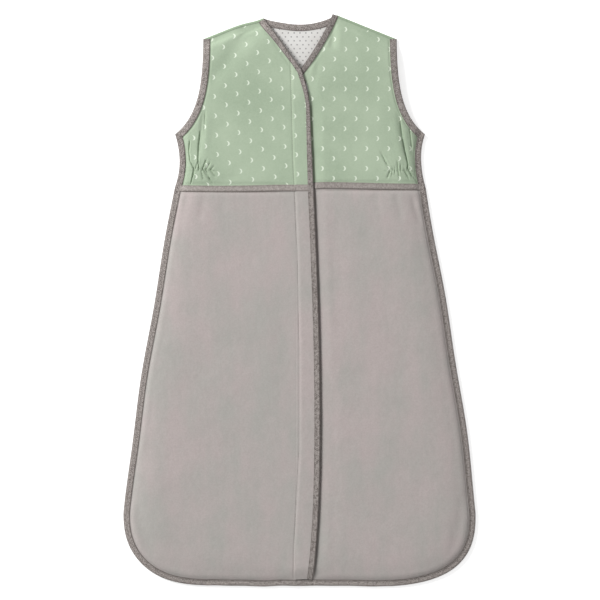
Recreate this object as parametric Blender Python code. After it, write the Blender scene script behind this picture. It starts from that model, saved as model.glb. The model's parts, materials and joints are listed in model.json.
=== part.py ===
"""Baby sleeping bag, lying flat on its back, in metres.

+X is to the right seen from above, +Y runs from the hem to the neck and +Z is up. The origin is
under the middle of the bag, on the surface it lies on. Back and fronts are three layers each
(outer fabric, wadding, lining) that stay apart, so the bag is hollow between them. The side and
hem bindings and the shoulder seams close it. The zip lies between the fronts, under a flap that
is hinged on its line of stitches.
"""

import math

import bpy
import numpy as np

# Outline of the bag
bag_length = 0.900
hem_half_width = 0.2775
waist_half_width = 0.198
underarm_half_width = 0.197
flare_shares = (0.30, 0.27)  # how the skirt's side leaves the waist: across, and down
corner_shares = (0.20, 0.34)  # and how it meets the corner: across, and up
gather_pinch = 0.0095  # how far the gathers draw each side in, at the curve's control points
shoulder_half_width = 0.1525
neck_half_width = 0.058
shoulder_fall = 0.038
armhole_depth = 0.150
armhole_straight_share = 0.48  # of its depth, before the armhole turns out
armhole_turn_share = 0.17
armhole_turn_above = 0.028
waist_drop = 0.272  # neck point to waist seam
back_neck_drop = 0.015
corner_width = 0.1475
corner_height = 0.115
corner_power = 2.5

# Front opening
chain_x = 0.008  # centre line of the zip
stitch_x = -0.007  # line of stitches that the flap folds on
left_v_foot = (0.003, 0.088)  # foot of the left neck edge: across, and down from the neck point
right_v_foot = (0.010, 0.090)
flap_upper_reach = (0.016, 0.150)  # free edge: across, and down from the neck point
flap_middle_reach = 0.047
flap_lower_reach = 0.020
flap_leaves_foot = (0.005, -0.017)  # the free edge's directions, as offsets between its points
flap_nears_bend = (-0.001, 0.025)
flap_leaves_bend = (0.004, -0.120)
flap_middle_above_foot = 0.200
hinge_lift = 0.0002  # folded back, the flap clears the front

# Widths of strips and seams
armhole_binding_width = 0.011
neck_binding_width = 0.011
side_binding_width = 0.010
flap_binding_width = 0.008
waist_tape_width = 0.0105
shoulder_seam_width = 0.004
elastic_width = 0.008
elastic_length = 0.055
elastic_above_waist = 0.027
gap = 0.0003  # between pieces that touch
line_overrun = 0.02  # moved lines go on past their ends, to cross their neighbours

# Thicknesses
outer_thick = 0.0008
back_wadding_thick = 0.0016
front_wadding_thick = 0.0020
lining_thick = 0.0006
tape_thick = 0.0008
flap_fabric_thick = 0.0006
elastic_thick = 0.0012
binding_proud = 0.0006  # side bindings over the front
room_inside = 0.0059  # between the two linings

# Zip
front_from_chain = 0.0065  # edge of each front to the zip's centre line
coil_gap = 0.0016
coil_width = 0.0016
coil_height = 0.0024
zip_tape_width = 0.0128
zip_tape_thick = 0.0006
zip_tape_top = 0.013  # below the left neck edge's foot
zip_tape_past_stop = 0.010
stop_length = 0.003
stop_proud = 0.0003
slider_length = 0.014
slider_half_width = 0.005
slider_plate = 0.0008
slider_lip = 0.0008
slider_clearance = 0.0004
slider_rest_gap = 0.0035  # to the top stops, and to the bottom stop at the other end
chain_end_above_hem = 0.050
crown_length = 0.008
crown_width = 0.0025
crown_leg = 0.0012
crown_roof = 0.0006
crown_room = 0.0022
crown_chamfer = 0.001
pull_thick = 0.0010
pull_bar = 0.0012
pull_eye_half_width = 0.0032
pull_side_bar = 0.0015
pull_eye_length = 0.0060
pull_length = 0.028
pull_neck_length = 0.005
pull_tip_half_width = 0.0026

# Levels that follow
back_outer_low = 0.0
back_wadding_low = back_outer_low + outer_thick + gap
back_lining_low = back_wadding_low + back_wadding_thick + gap
back_top = back_lining_low + lining_thick
front_low = back_top + room_inside
front_wadding_low = front_low + lining_thick + gap
front_outer_low = front_wadding_low + front_wadding_thick + gap
front_tape_low = front_outer_low + outer_thick + gap
front_top = front_tape_low + tape_thick
binding_top = front_top + binding_proud
facing_low = front_top + gap
flap_outer_low = facing_low + flap_fabric_thick + gap
flap_tape_low = flap_outer_low + flap_fabric_thick + gap
flap_top = flap_tape_low + flap_fabric_thick
hinge_z = (facing_low + flap_top) / 2 + hinge_lift
zip_tape_low = front_low - gap - zip_tape_thick
chain_z = zip_tape_low + zip_tape_thick / 2

# Places that follow
top_y = bag_length / 2
bottom_y = -bag_length / 2
shoulder_y = top_y - shoulder_fall
underarm_y = shoulder_y - armhole_depth
waist_y = top_y - waist_drop
corner_y = bottom_y + corner_height
elastic_y = waist_y + elastic_above_waist
flap_foot_y = bottom_y + side_binding_width + gap
zip_top_y = top_y - left_v_foot[1] - zip_tape_top
chain_top_y = zip_top_y - stop_length
chain_foot_y = bottom_y + chain_end_above_hem
slider_y = chain_top_y - slider_rest_gap - slider_length / 2

pale_green = (175, 192, 166)
warm_grey = (175, 168, 161)
taupe = (150, 141, 136)
cream = (225, 223, 218)
white = (240, 240, 236)
silver = (190, 190, 192)

bag = bpy.data.collections.new("baby_sleeping_bag")


def clear_scene():
    for old in list(bpy.data.objects):
        bpy.data.objects.remove(old, do_unlink=True)
    bpy.context.scene.collection.children.link(bag)


def finish(name, colour, roughness, metallic=0.0):
    """A plain material; the colour is given in sRGB, 0 to 255."""
    material = bpy.data.materials.new(name + "_finish")
    material.use_nodes = True
    shader = material.node_tree.nodes["Principled BSDF"]
    linear = [((c / 255 + 0.055) / 1.055) ** 2.4 for c in colour]
    shader.inputs["Base Color"].default_value = (*linear, 1.0)
    shader.inputs["Roughness"].default_value = roughness
    shader.inputs["Metallic"].default_value = metallic
    return material


def bezier(start, first, second, end, count=12):
    """Points of a cubic Bezier curve."""
    t = np.linspace(0.0, 1.0, count)[:, None]
    start, first, second, end = (np.array(point, float) for point in (start, first, second, end))
    return (
        (1 - t) ** 3 * start + 3 * (1 - t) ** 2 * t * first + 3 * (1 - t) * t**2 * second + t**3 * end
    )


def straight(start, end):
    return np.array([start, end], float)


def across(y):
    return straight((-0.2 * bag_length, y), (bag_length, y))


def upright(x):
    return straight((x, bag_length), (x, -bag_length))


def moved(line, inward, reach=line_overrun):
    """The line moved to its right by inward, and made longer by reach at both ends."""
    step = np.diff(line, axis=0)
    step /= np.linalg.norm(step, axis=1)[:, None]
    ahead = np.vstack([step, step[-1:]])
    behind = np.vstack([step[:1], step])
    tangent = ahead + behind
    tangent /= np.linalg.norm(tangent, axis=1)[:, None]
    width = inward / np.clip((ahead * tangent).sum(axis=1), 0.5, 1.0)
    points = line + width[:, None] * np.column_stack([tangent[:, 1], -tangent[:, 0]])
    return np.vstack([points[0] - reach * step[0], points, points[-1] + reach * step[-1]])


def crossing(first, second):
    """Where two lines cross: the place along each, and the point."""
    for i, (a, b) in enumerate(zip(first[:-1], first[1:])):
        for j, (c, d) in enumerate(zip(second[:-1], second[1:])):
            u, v, w = b - a, d - c, c - a
            area = u[0] * v[1] - u[1] * v[0]
            if abs(area) < 1e-14:
                continue
            s = (w[0] * v[1] - w[1] * v[0]) / area
            t = (w[0] * u[1] - w[1] * u[0]) / area
            if 0 <= s <= 1 and 0 <= t <= 1:
                return i + s, j + t, a + s * u
    raise ValueError("two edges of a piece do not meet")


def chain(*lines):
    """The points from line to line, each cut where it crosses the next one."""
    cuts = [crossing(line, after) for line, after in zip(lines[:-1], lines[1:])]
    points = [cuts[0][2]]
    for line, (_, start, _), (stop, _, corner) in zip(lines[1:-1], cuts[:-1], cuts[1:]):
        low, high = sorted((start, stop))
        inner = list(line[int(low) + 1 : int(high) + 1])
        points += inner if start < stop else inner[::-1]
        points.append(corner)
    return points


def closed(*lines):
    """A closed outline: the last line crosses the first."""
    return chain(lines[-1], *lines, lines[0])


def full_width(*lines):
    """A closed outline from its right half, which starts and ends on the centre line."""
    half = chain(centre, *lines, centre)
    return half + [point * (-1, 1) for point in reversed(half)]


def plate(name, outline, low, high, colour, roughness=0.9, metallic=0.0, mirror=1, holes=()):
    """A flat outline given thickness, from one level up to another."""
    shape = bpy.data.curves.new(name, "CURVE")
    shape.dimensions = "2D"
    shape.fill_mode = "BOTH"
    shape.extrude = (high - low) / 2
    for ring in (outline, *holes):
        apart = [p for p, q in zip(ring, [ring[-1], *ring[:-1]]) if math.dist(p, q) > 1e-6]
        spline = shape.splines.new("POLY")
        spline.points.add(len(apart) - 1)
        for point, (x, y) in zip(spline.points, apart):
            point.co = (mirror * x, y, 0.0, 1.0)
        spline.use_cyclic_u = True
    piece = bpy.data.objects.new(name, shape)
    piece.location.z = (low + high) / 2
    piece.data.materials.append(finish(name, colour, roughness, metallic))
    bag.objects.link(piece)
    return piece


def box_ring(x_low, x_high, y_low, y_high):
    return [(x_low, y_low), (x_high, y_low), (x_high, y_high), (x_low, y_high)]


def hang_on(name, place, pieces):
    """Puts moving pieces under an empty on their joint's axis."""
    axis = bpy.data.objects.new(name, None)
    axis.location = place
    axis.empty_display_size = slider_length
    bag.objects.link(axis)
    for piece in pieces:
        piece.parent = axis
        piece.location -= axis.location
    return axis


# Lines of the right half, each running clockwise so that its right side is the inside
neck_point = (neck_half_width, top_y)
shoulder_tip = (shoulder_half_width, shoulder_y)
underarm = (underarm_half_width, underarm_y)
waist_point = (waist_half_width, waist_y)
corner_start = (hem_half_width, corner_y)

centre = upright(0.0)
shoulder = straight(neck_point, shoulder_tip)
armhole = bezier(
    shoulder_tip,
    (shoulder_half_width, shoulder_y - armhole_straight_share * armhole_depth),
    (
        shoulder_half_width + armhole_turn_share * (underarm_half_width - shoulder_half_width),
        underarm_y + armhole_turn_above,
    ),
    underarm,
)


def back_neck_line():
    """y rises from the middle to the neck point as the square of x."""
    x = np.linspace(0.0, neck_half_width, 9)
    return np.column_stack([x, top_y - back_neck_drop * (1 - (x / neck_half_width) ** 2)])


def rim_line():
    """Side, bottom corner and half of the hem, from the underarm to the centre line."""
    upper_height = underarm_y - waist_y
    upper = bezier(
        underarm,
        (underarm_half_width - gather_pinch, underarm_y - upper_height / 3),
        (waist_half_width - gather_pinch, waist_y + upper_height / 3),
        waist_point,
        8,
    )
    flare = hem_half_width - waist_half_width
    skirt = waist_y - corner_y
    lower = bezier(
        waist_point,
        (waist_half_width + flare_shares[0] * flare, waist_y - flare_shares[1] * skirt),
        (hem_half_width - corner_shares[0] * flare, corner_y + corner_shares[1] * skirt),
        corner_start,
        14,
    )
    turn = np.linspace(0.0, math.pi / 2, 14)[1:]
    corner = np.column_stack(
        [
            hem_half_width - corner_width + corner_width * np.cos(turn) ** (2 / corner_power),
            corner_y - corner_height * np.sin(turn) ** (2 / corner_power),
        ]
    )
    return np.vstack([upper, lower[1:], corner, [(0.0, bottom_y)]])


back_neck = back_neck_line()
rim = rim_line()
rim_edge = moved(rim, side_binding_width + gap)
shoulder_edge = moved(shoulder, shoulder_seam_width + gap)
armhole_edge = moved(armhole, armhole_binding_width + gap)
waist_above = across(waist_y + gap / 2)
waist_below = across(waist_y - gap / 2)
tape_above = across(waist_y + waist_tape_width / 2)
tape_below = across(waist_y - waist_tape_width / 2)


def back():
    """Outer fabric above and below the taped waist, wadding and lining."""
    neck_edge = moved(back_neck, neck_binding_width + gap)
    top = (neck_edge, shoulder_edge, armhole_edge, rim_edge)
    yoke_foot = across(waist_y + waist_tape_width / 2 + gap)
    skirt_top = across(waist_y - waist_tape_width / 2 - gap)
    outer = (back_outer_low, back_outer_low + outer_thick)
    plate("back_yoke", full_width(*top, yoke_foot), *outer, pale_green)
    plate("back_skirt", full_width(skirt_top, rim_edge), *outer, warm_grey)
    plate("back_waist_tape", full_width(tape_above, rim_edge, tape_below), *outer, taupe)
    plate("back_wadding", full_width(*top), back_wadding_low, back_wadding_low + back_wadding_thick, white)
    plate("back_lining", full_width(*top), back_lining_low, back_top, cream)


def front(side, mirror, v_line, edge_x):
    """One front, drawn as the right one and mirrored for the left."""
    v_edge = moved(v_line, neck_binding_width + gap)
    front_edge = upright(edge_x)
    top = (v_edge, shoulder_edge, armhole_edge, rim_edge)
    outer = (front_outer_low, front_outer_low + outer_thick)
    inner_rim = moved(rim, side_binding_width + 2 * gap)
    elastic_end = upright(waist_half_width - side_binding_width - elastic_length)
    elastic_room = [across(elastic_y + k * (elastic_width / 2 + gap)) for k in (1, -1)]
    elastic_sides = [across(elastic_y + k * elastic_width / 2) for k in (1, -1)]
    room_end = upright(waist_half_width - side_binding_width - elastic_length - gap)

    def piece(name, outline, low, high, colour):
        plate(f"{side}_{name}", outline, low, high, colour, mirror=mirror)

    piece("front_yoke", closed(*top, waist_above, front_edge), *outer, pale_green)
    piece("front_skirt", closed(waist_below, rim_edge, front_edge), *outer, warm_grey)
    tape = closed(tape_above, rim_edge, tape_below, front_edge)
    piece("front_waist_tape", tape, front_tape_low, front_top, taupe)
    wadding = closed(*top, elastic_room[0], room_end, elastic_room[1], rim_edge, front_edge)
    piece("front_wadding", wadding, front_wadding_low, front_wadding_low + front_wadding_thick, white)
    piece("front_lining", closed(*top, front_edge), front_low, front_low + lining_thick, cream)
    elastic = closed(inner_rim, elastic_sides[0], elastic_end, elastic_sides[1])
    elastic_low = front_wadding_low + (front_wadding_thick - elastic_thick) / 2
    piece("elastic", elastic, elastic_low, elastic_low + elastic_thick, white)

    neck_binding = closed(moved(v_line, 0.0), shoulder_edge, moved(v_line, neck_binding_width), front_edge)
    plate(f"neck_binding_{side}", neck_binding, front_low, front_top, taupe, mirror=mirror)


def edges(side, mirror, v_line):
    """Armhole bindings, side binding and shoulder seam of one side."""
    armhole_binding = closed(
        shoulder_edge, moved(armhole, 0.0), moved(rim, 0.0), moved(armhole, armhole_binding_width)
    )
    side_binding = closed(
        moved(rim, 0.0), armhole_edge, moved(rim, side_binding_width), across(corner_y + gap)
    )
    seam = closed(
        moved(shoulder, 0.0), moved(armhole, 0.0), moved(shoulder, shoulder_seam_width), moved(v_line, 0.0)
    )
    for name, outline, low, high, colour in (
        ("armhole_binding_front", armhole_binding, front_low, front_top, taupe),
        ("armhole_binding_back", armhole_binding, back_outer_low, back_top, taupe),
        ("side_binding", side_binding, back_outer_low, binding_top, taupe),
        ("shoulder_seam", seam, back_outer_low, binding_top, pale_green),
    ):
        plate(f"{side}_{name}", outline, low, high, colour, mirror=mirror)


def hem_and_back_neck():
    rim_inside = moved(rim, side_binding_width)
    hem = full_width(moved(rim, 0.0), across(corner_y), rim_inside)
    plate("hem_binding", hem, back_outer_low, binding_top, taupe)
    neck = full_width(moved(back_neck, 0.0), shoulder_edge, moved(back_neck, neck_binding_width))
    plate("neck_binding_back", neck, back_outer_low, back_top, taupe)


def flap():
    """Runs from the left neck edge to the hem, and folds about its line of stitches."""
    v_top = np.array((-neck_half_width, top_y))
    v_foot = np.array((left_v_foot[0], top_y - left_v_foot[1]))
    shoulder_of_edge = (flap_upper_reach[0], top_y - flap_upper_reach[1])
    upper = bezier(
        v_foot,
        v_foot + flap_leaves_foot,
        np.add(shoulder_of_edge, flap_nears_bend),
        shoulder_of_edge,
        8,
    )
    lower = bezier(
        shoulder_of_edge,
        np.add(shoulder_of_edge, flap_leaves_bend),
        (flap_middle_reach, flap_foot_y + flap_middle_above_foot),
        (flap_lower_reach, flap_foot_y),
        16,
    )
    free_edge = np.vstack([[v_top], upper, lower[1:]])
    fabric_edge = moved(free_edge, flap_binding_width + gap)
    stitches = upright(stitch_x)
    foot = across(flap_foot_y)
    binding = closed(moved(free_edge, 0.0), foot, moved(free_edge, flap_binding_width), stitches)
    outer = (flap_outer_low, flap_outer_low + flap_fabric_thick)
    facing = closed(fabric_edge, foot, stitches)
    tape = closed(tape_above, fabric_edge, tape_below, stitches)
    pieces = [
        plate("flap_facing", facing, facing_low, facing_low + flap_fabric_thick, cream),
        plate("flap_yoke", closed(fabric_edge, waist_above, stitches), *outer, pale_green),
        plate("flap_skirt", closed(waist_below, fabric_edge, foot, stitches), *outer, warm_grey),
        plate("flap_waist_tape", tape, flap_tape_low, flap_top, taupe),
        plate("flap_binding", binding, facing_low, flap_top, taupe),
    ]
    hang_on("flap_hinge_axis", (stitch_x, 0.0, hinge_z), pieces)


def zip_chain():
    """Two tapes, each with its coil and top stop, and one bottom stop across both."""
    coil_inner = coil_gap / 2
    coil_outer = coil_inner + coil_width
    tape_inner = coil_outer + gap
    tape_foot = chain_foot_y - stop_length - zip_tape_past_stop
    half_coil = coil_height / 2
    half_stop = half_coil + stop_proud
    for side, mirror in (("left", -1), ("right", 1)):

        def strip(x_low, x_high, y_low, y_high, mirror=mirror):
            ends = sorted((chain_x + mirror * x_low, chain_x + mirror * x_high))
            return box_ring(*ends, y_low, y_high)

        tape = strip(tape_inner, tape_inner + zip_tape_width, tape_foot, zip_top_y)
        coil = strip(coil_inner, coil_outer, chain_foot_y + gap, chain_top_y - gap)
        stop = strip(coil_inner, coil_outer, chain_top_y, chain_top_y + stop_length)
        plate(f"zip_tape_{side}", tape, zip_tape_low, zip_tape_low + zip_tape_thick, taupe)
        plate(f"zip_coil_{side}", coil, chain_z - half_coil, chain_z + half_coil, taupe, 0.5)
        plate(f"zip_top_stop_{side}", stop, chain_z - half_stop, chain_z + half_stop, silver, 0.35, 1.0)
    bottom = box_ring(chain_x - coil_outer, chain_x + coil_outer, chain_foot_y - stop_length, chain_foot_y)
    plate("zip_bottom_stop", bottom, chain_z - half_stop, chain_z + half_stop, silver, 0.35, 1.0)


def zip_slider():
    """The slider's section runs along the zip: two lipped plates on a post between the coils."""
    plate_low = coil_height / 2 + slider_clearance
    plate_high = plate_low + slider_plate
    lip_low = zip_tape_thick / 2 + slider_clearance
    half_post = coil_gap / 2 - gap
    lip_x = slider_half_width - slider_lip
    quarter = [
        (half_post, plate_low),
        (lip_x, plate_low),
        (lip_x, lip_low),
        (slider_half_width, lip_low),
        (slider_half_width, plate_high),
    ]
    right_half = [(x, -z) for x, z in reversed(quarter)] + quarter
    section = right_half + [(-x, z) for x, z in reversed(right_half)]
    body = plate("zip_slider_body", section, 0.0, slider_length, silver, 0.35, 1.0)
    body.rotation_euler = (math.pi / 2, 0.0, 0.0)
    body.location = (chain_x, slider_y, chain_z)

    crown_low = chain_z + plate_high + gap
    half = crown_length / 2
    arch = [
        (-half, 0.0),
        (crown_leg - half, 0.0),
        (crown_leg - half, crown_room),
        (half - crown_leg, crown_room),
        (half - crown_leg, 0.0),
        (half, 0.0),
        (half, crown_room + crown_roof * 0.5),
        (half - crown_chamfer, crown_room + crown_roof),
        (crown_chamfer - half, crown_room + crown_roof),
        (-half, crown_room + crown_roof * 0.5),
    ]
    crown = plate("zip_slider_crown", arch, 0.0, crown_width, silver, 0.35, 1.0)
    crown.rotation_euler = (math.pi / 2, 0.0, math.pi / 2)
    crown.location = (chain_x, slider_y, crown_low)
    travel = hang_on("zip_slider_travel", (chain_x, slider_y, chain_z), [body, crown])

    pivot_z = crown_low + crown_room / 2
    eye = pull_eye_half_width
    bar = pull_bar / 2
    tip_y = slider_y - pull_length
    turn = np.linspace(0.0, math.pi, 9)
    tip = [
        (chain_x + pull_tip_half_width * math.cos(a), tip_y + pull_tip_half_width * (1 - math.sin(a)))
        for a in turn
    ]
    neck_y = slider_y - pull_eye_length - pull_neck_length
    outline = [
        (chain_x - eye, slider_y + bar),
        (chain_x - eye, slider_y - pull_eye_length),
        (chain_x - pull_tip_half_width, neck_y),
        *reversed(tip),
        (chain_x + pull_tip_half_width, neck_y),
        (chain_x + eye, slider_y - pull_eye_length),
        (chain_x + eye, slider_y + bar),
    ]
    side = eye - pull_side_bar
    eye_hole = box_ring(chain_x - side, chain_x + side, slider_y - pull_eye_length, slider_y - bar)
    levels = (pivot_z - pull_thick / 2, pivot_z + pull_thick / 2)
    pull = plate("zip_pull", outline, *levels, silver, 0.35, 1.0, holes=[eye_hole])
    pull_axis = hang_on("zip_pull_axis", (chain_x, slider_y, pivot_z), [pull])
    pull_axis.parent = travel
    pull_axis.location -= travel.location


clear_scene()
back()
hem_and_back_neck()
for side_name, side_mirror, foot, edge in (
    ("left", -1, (-left_v_foot[0], left_v_foot[1]), front_from_chain - chain_x),
    ("right", 1, right_v_foot, chain_x + front_from_chain),
):
    neck_edge_line = straight((foot[0], top_y - foot[1]), neck_point)
    front(side_name, side_mirror, neck_edge_line, edge)
    edges(side_name, side_mirror, neck_edge_line)
flap()
zip_chain()
zip_slider()
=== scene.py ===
import json
import math

import bpy
import numpy as np
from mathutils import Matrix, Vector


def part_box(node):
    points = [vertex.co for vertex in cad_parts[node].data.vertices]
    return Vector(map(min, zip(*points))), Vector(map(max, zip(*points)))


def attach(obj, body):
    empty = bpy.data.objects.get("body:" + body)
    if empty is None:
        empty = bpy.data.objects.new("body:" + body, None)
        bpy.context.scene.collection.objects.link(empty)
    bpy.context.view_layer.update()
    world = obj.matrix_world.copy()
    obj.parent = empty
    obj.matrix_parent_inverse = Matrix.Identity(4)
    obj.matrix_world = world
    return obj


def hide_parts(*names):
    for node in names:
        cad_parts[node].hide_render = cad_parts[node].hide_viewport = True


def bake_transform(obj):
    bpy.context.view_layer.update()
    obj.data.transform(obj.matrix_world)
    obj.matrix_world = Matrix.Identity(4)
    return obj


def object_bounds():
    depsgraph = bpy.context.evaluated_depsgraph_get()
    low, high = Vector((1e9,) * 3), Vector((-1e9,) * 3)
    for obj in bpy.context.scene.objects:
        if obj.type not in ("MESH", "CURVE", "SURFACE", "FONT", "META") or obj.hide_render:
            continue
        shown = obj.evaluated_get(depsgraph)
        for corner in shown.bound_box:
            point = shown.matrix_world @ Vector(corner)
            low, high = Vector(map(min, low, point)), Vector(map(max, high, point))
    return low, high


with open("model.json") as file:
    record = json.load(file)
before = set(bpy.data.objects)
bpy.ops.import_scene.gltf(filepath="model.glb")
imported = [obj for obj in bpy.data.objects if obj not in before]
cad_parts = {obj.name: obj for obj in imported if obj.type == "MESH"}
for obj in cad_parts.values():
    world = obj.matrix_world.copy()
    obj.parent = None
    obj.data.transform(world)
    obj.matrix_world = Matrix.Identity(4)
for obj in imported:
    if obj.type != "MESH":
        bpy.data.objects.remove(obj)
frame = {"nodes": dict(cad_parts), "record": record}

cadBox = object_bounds()
mm = 0.001


def boxOf(node):
    # a node's two box corners as arrays
    low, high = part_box(node)
    return np.array(low), np.array(high)


boxLow, boxHigh = np.array(cadBox[0]), np.array(cadBox[1])
topY, bottomY, hemHalf = boxHigh[1], boxLow[1], boxHigh[0]
joints = {joint["name"]: joint for joint in frame["record"]["behaviour"]["joints"]}
hingeX, _, hingeZ = joints["flap_fold"]["pos_m"]
waistY = float(np.mean([corner[1] for corner in boxOf("left_front_waist_tape")]))
leftFrontX = float(boxOf("left_front_lining")[1][0])  # edges of the two fronts along the zip
rightFrontX = float(boxOf("right_front_lining")[0][0])
chainX = (leftFrontX + rightFrontX) / 2
flapFootY = float(boxOf("flap_facing")[0][1])

# the bag's cut, in metres, as the frame has it
cut = {
    "neckHalf": 0.058, "shoulderHalf": 0.1525, "shoulderFall": 0.038, "armholeDepth": 0.150,
    "underarmHalf": 0.197, "waistHalf": 0.198, "pinch": 0.0095, "backNeckDrop": 0.015,
    "cornerWidth": 0.1475, "cornerHeight": 0.115, "cornerPower": 2.5,
    "leftApex": (0.003, 0.088),  # x and depth below the top, as for the right edge of the neck, foot first
    "rightV": ((-0.0018, 0.0895), (0.011, 0.0715), (0.034, 0.040), (0.0515, -0.0015)),
}
shoulderY = topY - cut["shoulderFall"]
underarmY = shoulderY - cut["armholeDepth"]
cornerY = bottomY + cut["cornerHeight"]

# heights of the lofted layers, in metres
loft = {
    "edge": 6.2 * mm, "middle": 15.8 * mm, "rise": 15 * mm, "flat": 7 * mm,
    "backEdge": 2.6 * mm, "backMiddle": 5.0 * mm, "underFlap": 13.2 * mm, "cloth": 0.9 * mm,
    "lining": 0.6 * mm, "air": 0.4 * mm,
}


def bezier(start, first, second, end, count=24):
    # cubic Bezier: the four points weighted by the Bernstein polynomials
    t = np.linspace(0.0, 1.0, count)[:, None]
    a, b, c, d = (np.array(p, float) for p in (start, first, second, end))
    return (1 - t) ** 3 * a + 3 * (1 - t) ** 2 * t * b + 3 * (1 - t) * t**2 * c + t**3 * d


def lengths(line):
    # running length: the sum of the straight steps up to each point
    return np.concatenate([[0.0], np.cumsum(np.linalg.norm(np.diff(line, axis=0), axis=1))])


def resample(line, share):
    # points at the given shares of the line's length
    along = lengths(line)
    want = np.asarray(share) * along[-1]
    return np.column_stack([np.interp(want, along, line[:, k]) for k in range(line.shape[1])])


def evenly(line, step):
    # resampled so that the steps are all about as long as the one given
    return resample(line, np.linspace(0, 1, max(int(lengths(line)[-1] / step), 2) + 1))


def inwardOf(line):
    # unit normal on the right of a line, from the central difference of its points
    tangent = np.gradient(line, axis=0)
    tangent /= np.linalg.norm(tangent, axis=1)[:, None]
    return np.column_stack([tangent[:, 1], -tangent[:, 0]])


def inset(line, distance):
    # each point moved along its normal
    return line + distance * inwardOf(line)


def mirrored(line):
    # x negated, and the order turned round so that inward stays inward
    return (line * (-1, 1))[::-1]


def distanceTo(x, y, line):
    # least distance from each point to the line's segments
    least = np.full(np.shape(x), np.inf)
    for a, b in zip(line[:-1], line[1:]):
        along = b - a
        share = ((x - a[0]) * along[0] + (y - a[1]) * along[1]) / max(along @ along, 1e-12)
        share = np.clip(share, 0, 1)
        least = np.minimum(least, (x - a[0] - share * along[0]) ** 2 + (y - a[1] - share * along[1]) ** 2)
    return np.sqrt(least)


def sampled(measure, lowX, highX, lowY, highY, step=2 * mm):
    # a table of a function on a square grid, read between its points by two-way linear mixing
    xs, ys = np.arange(lowX, highX + step, step), np.arange(lowY, highY + step, step)
    table = measure(*np.meshgrid(xs, ys))

    def look(x, y):
        # the four points around x, y, weighted by nearness along each axis
        u = np.clip((x - lowX) / step, 0, len(xs) - 1.001)
        v = np.clip((y - lowY) / step, 0, len(ys) - 1.001)
        i, j = u.astype(int), v.astype(int)
        s, t = u - i, v - j
        under = (1 - s) * table[j, i] + s * table[j, i + 1]
        over = (1 - s) * table[j + 1, i] + s * table[j + 1, i + 1]
        return (1 - t) * under + t * over

    return look


neckPoint = np.array((cut["neckHalf"], topY))
shoulderTip = np.array((cut["shoulderHalf"], shoulderY))
underarm = np.array((cut["underarmHalf"], underarmY))
waistPoint = np.array((cut["waistHalf"], waistY))
cornerStart = np.array((hemHalf, cornerY))
drop = cut["armholeDepth"]
armhole = bezier(
    shoulderTip, shoulderTip - (0, 0.48 * drop),
    shoulderTip + (0.17 * (underarm[0] - shoulderTip[0]), 0.028 - drop), underarm, 40,
)


def sideUpper():
    # a Bezier from underarm to waist, its two middle points pinched inwards
    third = (underarmY - waistY) / 3
    return bezier(
        underarm, underarm - (cut["pinch"], third), waistPoint + (-cut["pinch"], third), waistPoint, 20
    )


def sideLower():
    # a Bezier from the waist to the corner, its middle points shares of the flare and the skirt's length
    flare, skirt = hemHalf - cut["waistHalf"], waistY - cornerY
    return bezier(
        waistPoint, waistPoint + (0.30 * flare, -0.27 * skirt),
        cornerStart + (-0.20 * flare, 0.34 * skirt), cornerStart, 40,
    )


def cornerLine():
    # a quarter of a superellipse, from the side round to the hem
    turn = np.linspace(0, math.pi / 2, 40)
    width, height, power = cut["cornerWidth"], cut["cornerHeight"], 2 / cut["cornerPower"]
    return np.column_stack(
        [hemHalf - width + width * np.cos(turn) ** power, cornerY - height * np.sin(turn) ** power]
    )


def hemHalfLine():
    # straight from the corner's end to the middle
    return np.array([(hemHalf - cut["cornerWidth"], bottomY), (0.0, bottomY)])


upper, lower, corner = sideUpper(), sideLower(), cornerLine()
side = np.vstack([upper, lower[1:]])
rim = evenly(np.vstack([side, corner[1:], hemHalfLine()[1:]]), 4 * mm)
rimCoarse = evenly(rim, 9 * mm)
shoulder = np.array([neckPoint, shoulderTip])
leftApex = (cut["leftApex"][0], topY - cut["leftApex"][1])
leftV = np.array([(2 * mm - cut["neckHalf"], topY - 1 * mm), leftApex])
rightV = bezier(*((x, topY - below) for x, below in cut["rightV"]), 26)


def backNeckLine():
    # a parabola between the two neck points
    x = np.linspace(-cut["neckHalf"], cut["neckHalf"], 41)
    return np.column_stack([x, topY - cut["backNeckDrop"] * (1 - (x / cut["neckHalf"]) ** 2)])


backNeck = backNeckLine()


def freeEdgeLine():
    # the flap's free edge: two Bezier arcs from the foot of the neck edge down to the hem
    apex = leftV[1]
    bend = np.array((0.016, topY - 0.150))
    high = bezier(apex, apex + (0.005, -0.017), bend + (-0.001, 0.025), bend, 20)
    low = bezier(bend, bend + (0.004, -0.120), (0.047, flapFootY + 0.200), (0.020, flapFootY), 60)
    return np.vstack([high, low[1:]])


freeEdge = freeEdgeLine()


def freeEdgeX(y):
    # the free edge's x at each y, linear between its points
    return np.interp(-y, -freeEdge[:, 1], freeEdge[:, 0])


def smooth(value):
    # three t squared less two t cubed, held between nought and one
    t = np.clip(value, 0, 1)
    return t * t * (3 - 2 * t)


def bell(distance, width):
    # one at nought, falling as the exponential of the square of distance over width
    return np.exp(-((distance / width) ** 2))


def crease(x, y, start, end, width, depth):
    # a valley with a bell section along a segment, fading to nothing at both ends
    a, b = np.array(start) * mm, np.array(end) * mm
    share = ((x - a[0]) * (b[0] - a[0]) + (y - a[1]) * (b[1] - a[1])) / ((b - a) ** 2).sum()
    across = np.hypot(x - a[0] - share * (b[0] - a[0]), y - a[1] - share * (b[1] - a[1]))
    fade = smooth((share + 0.15) / 0.35) * smooth((1.15 - share) / 0.35)
    return -depth * mm * bell(across, width * mm) * fade


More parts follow.
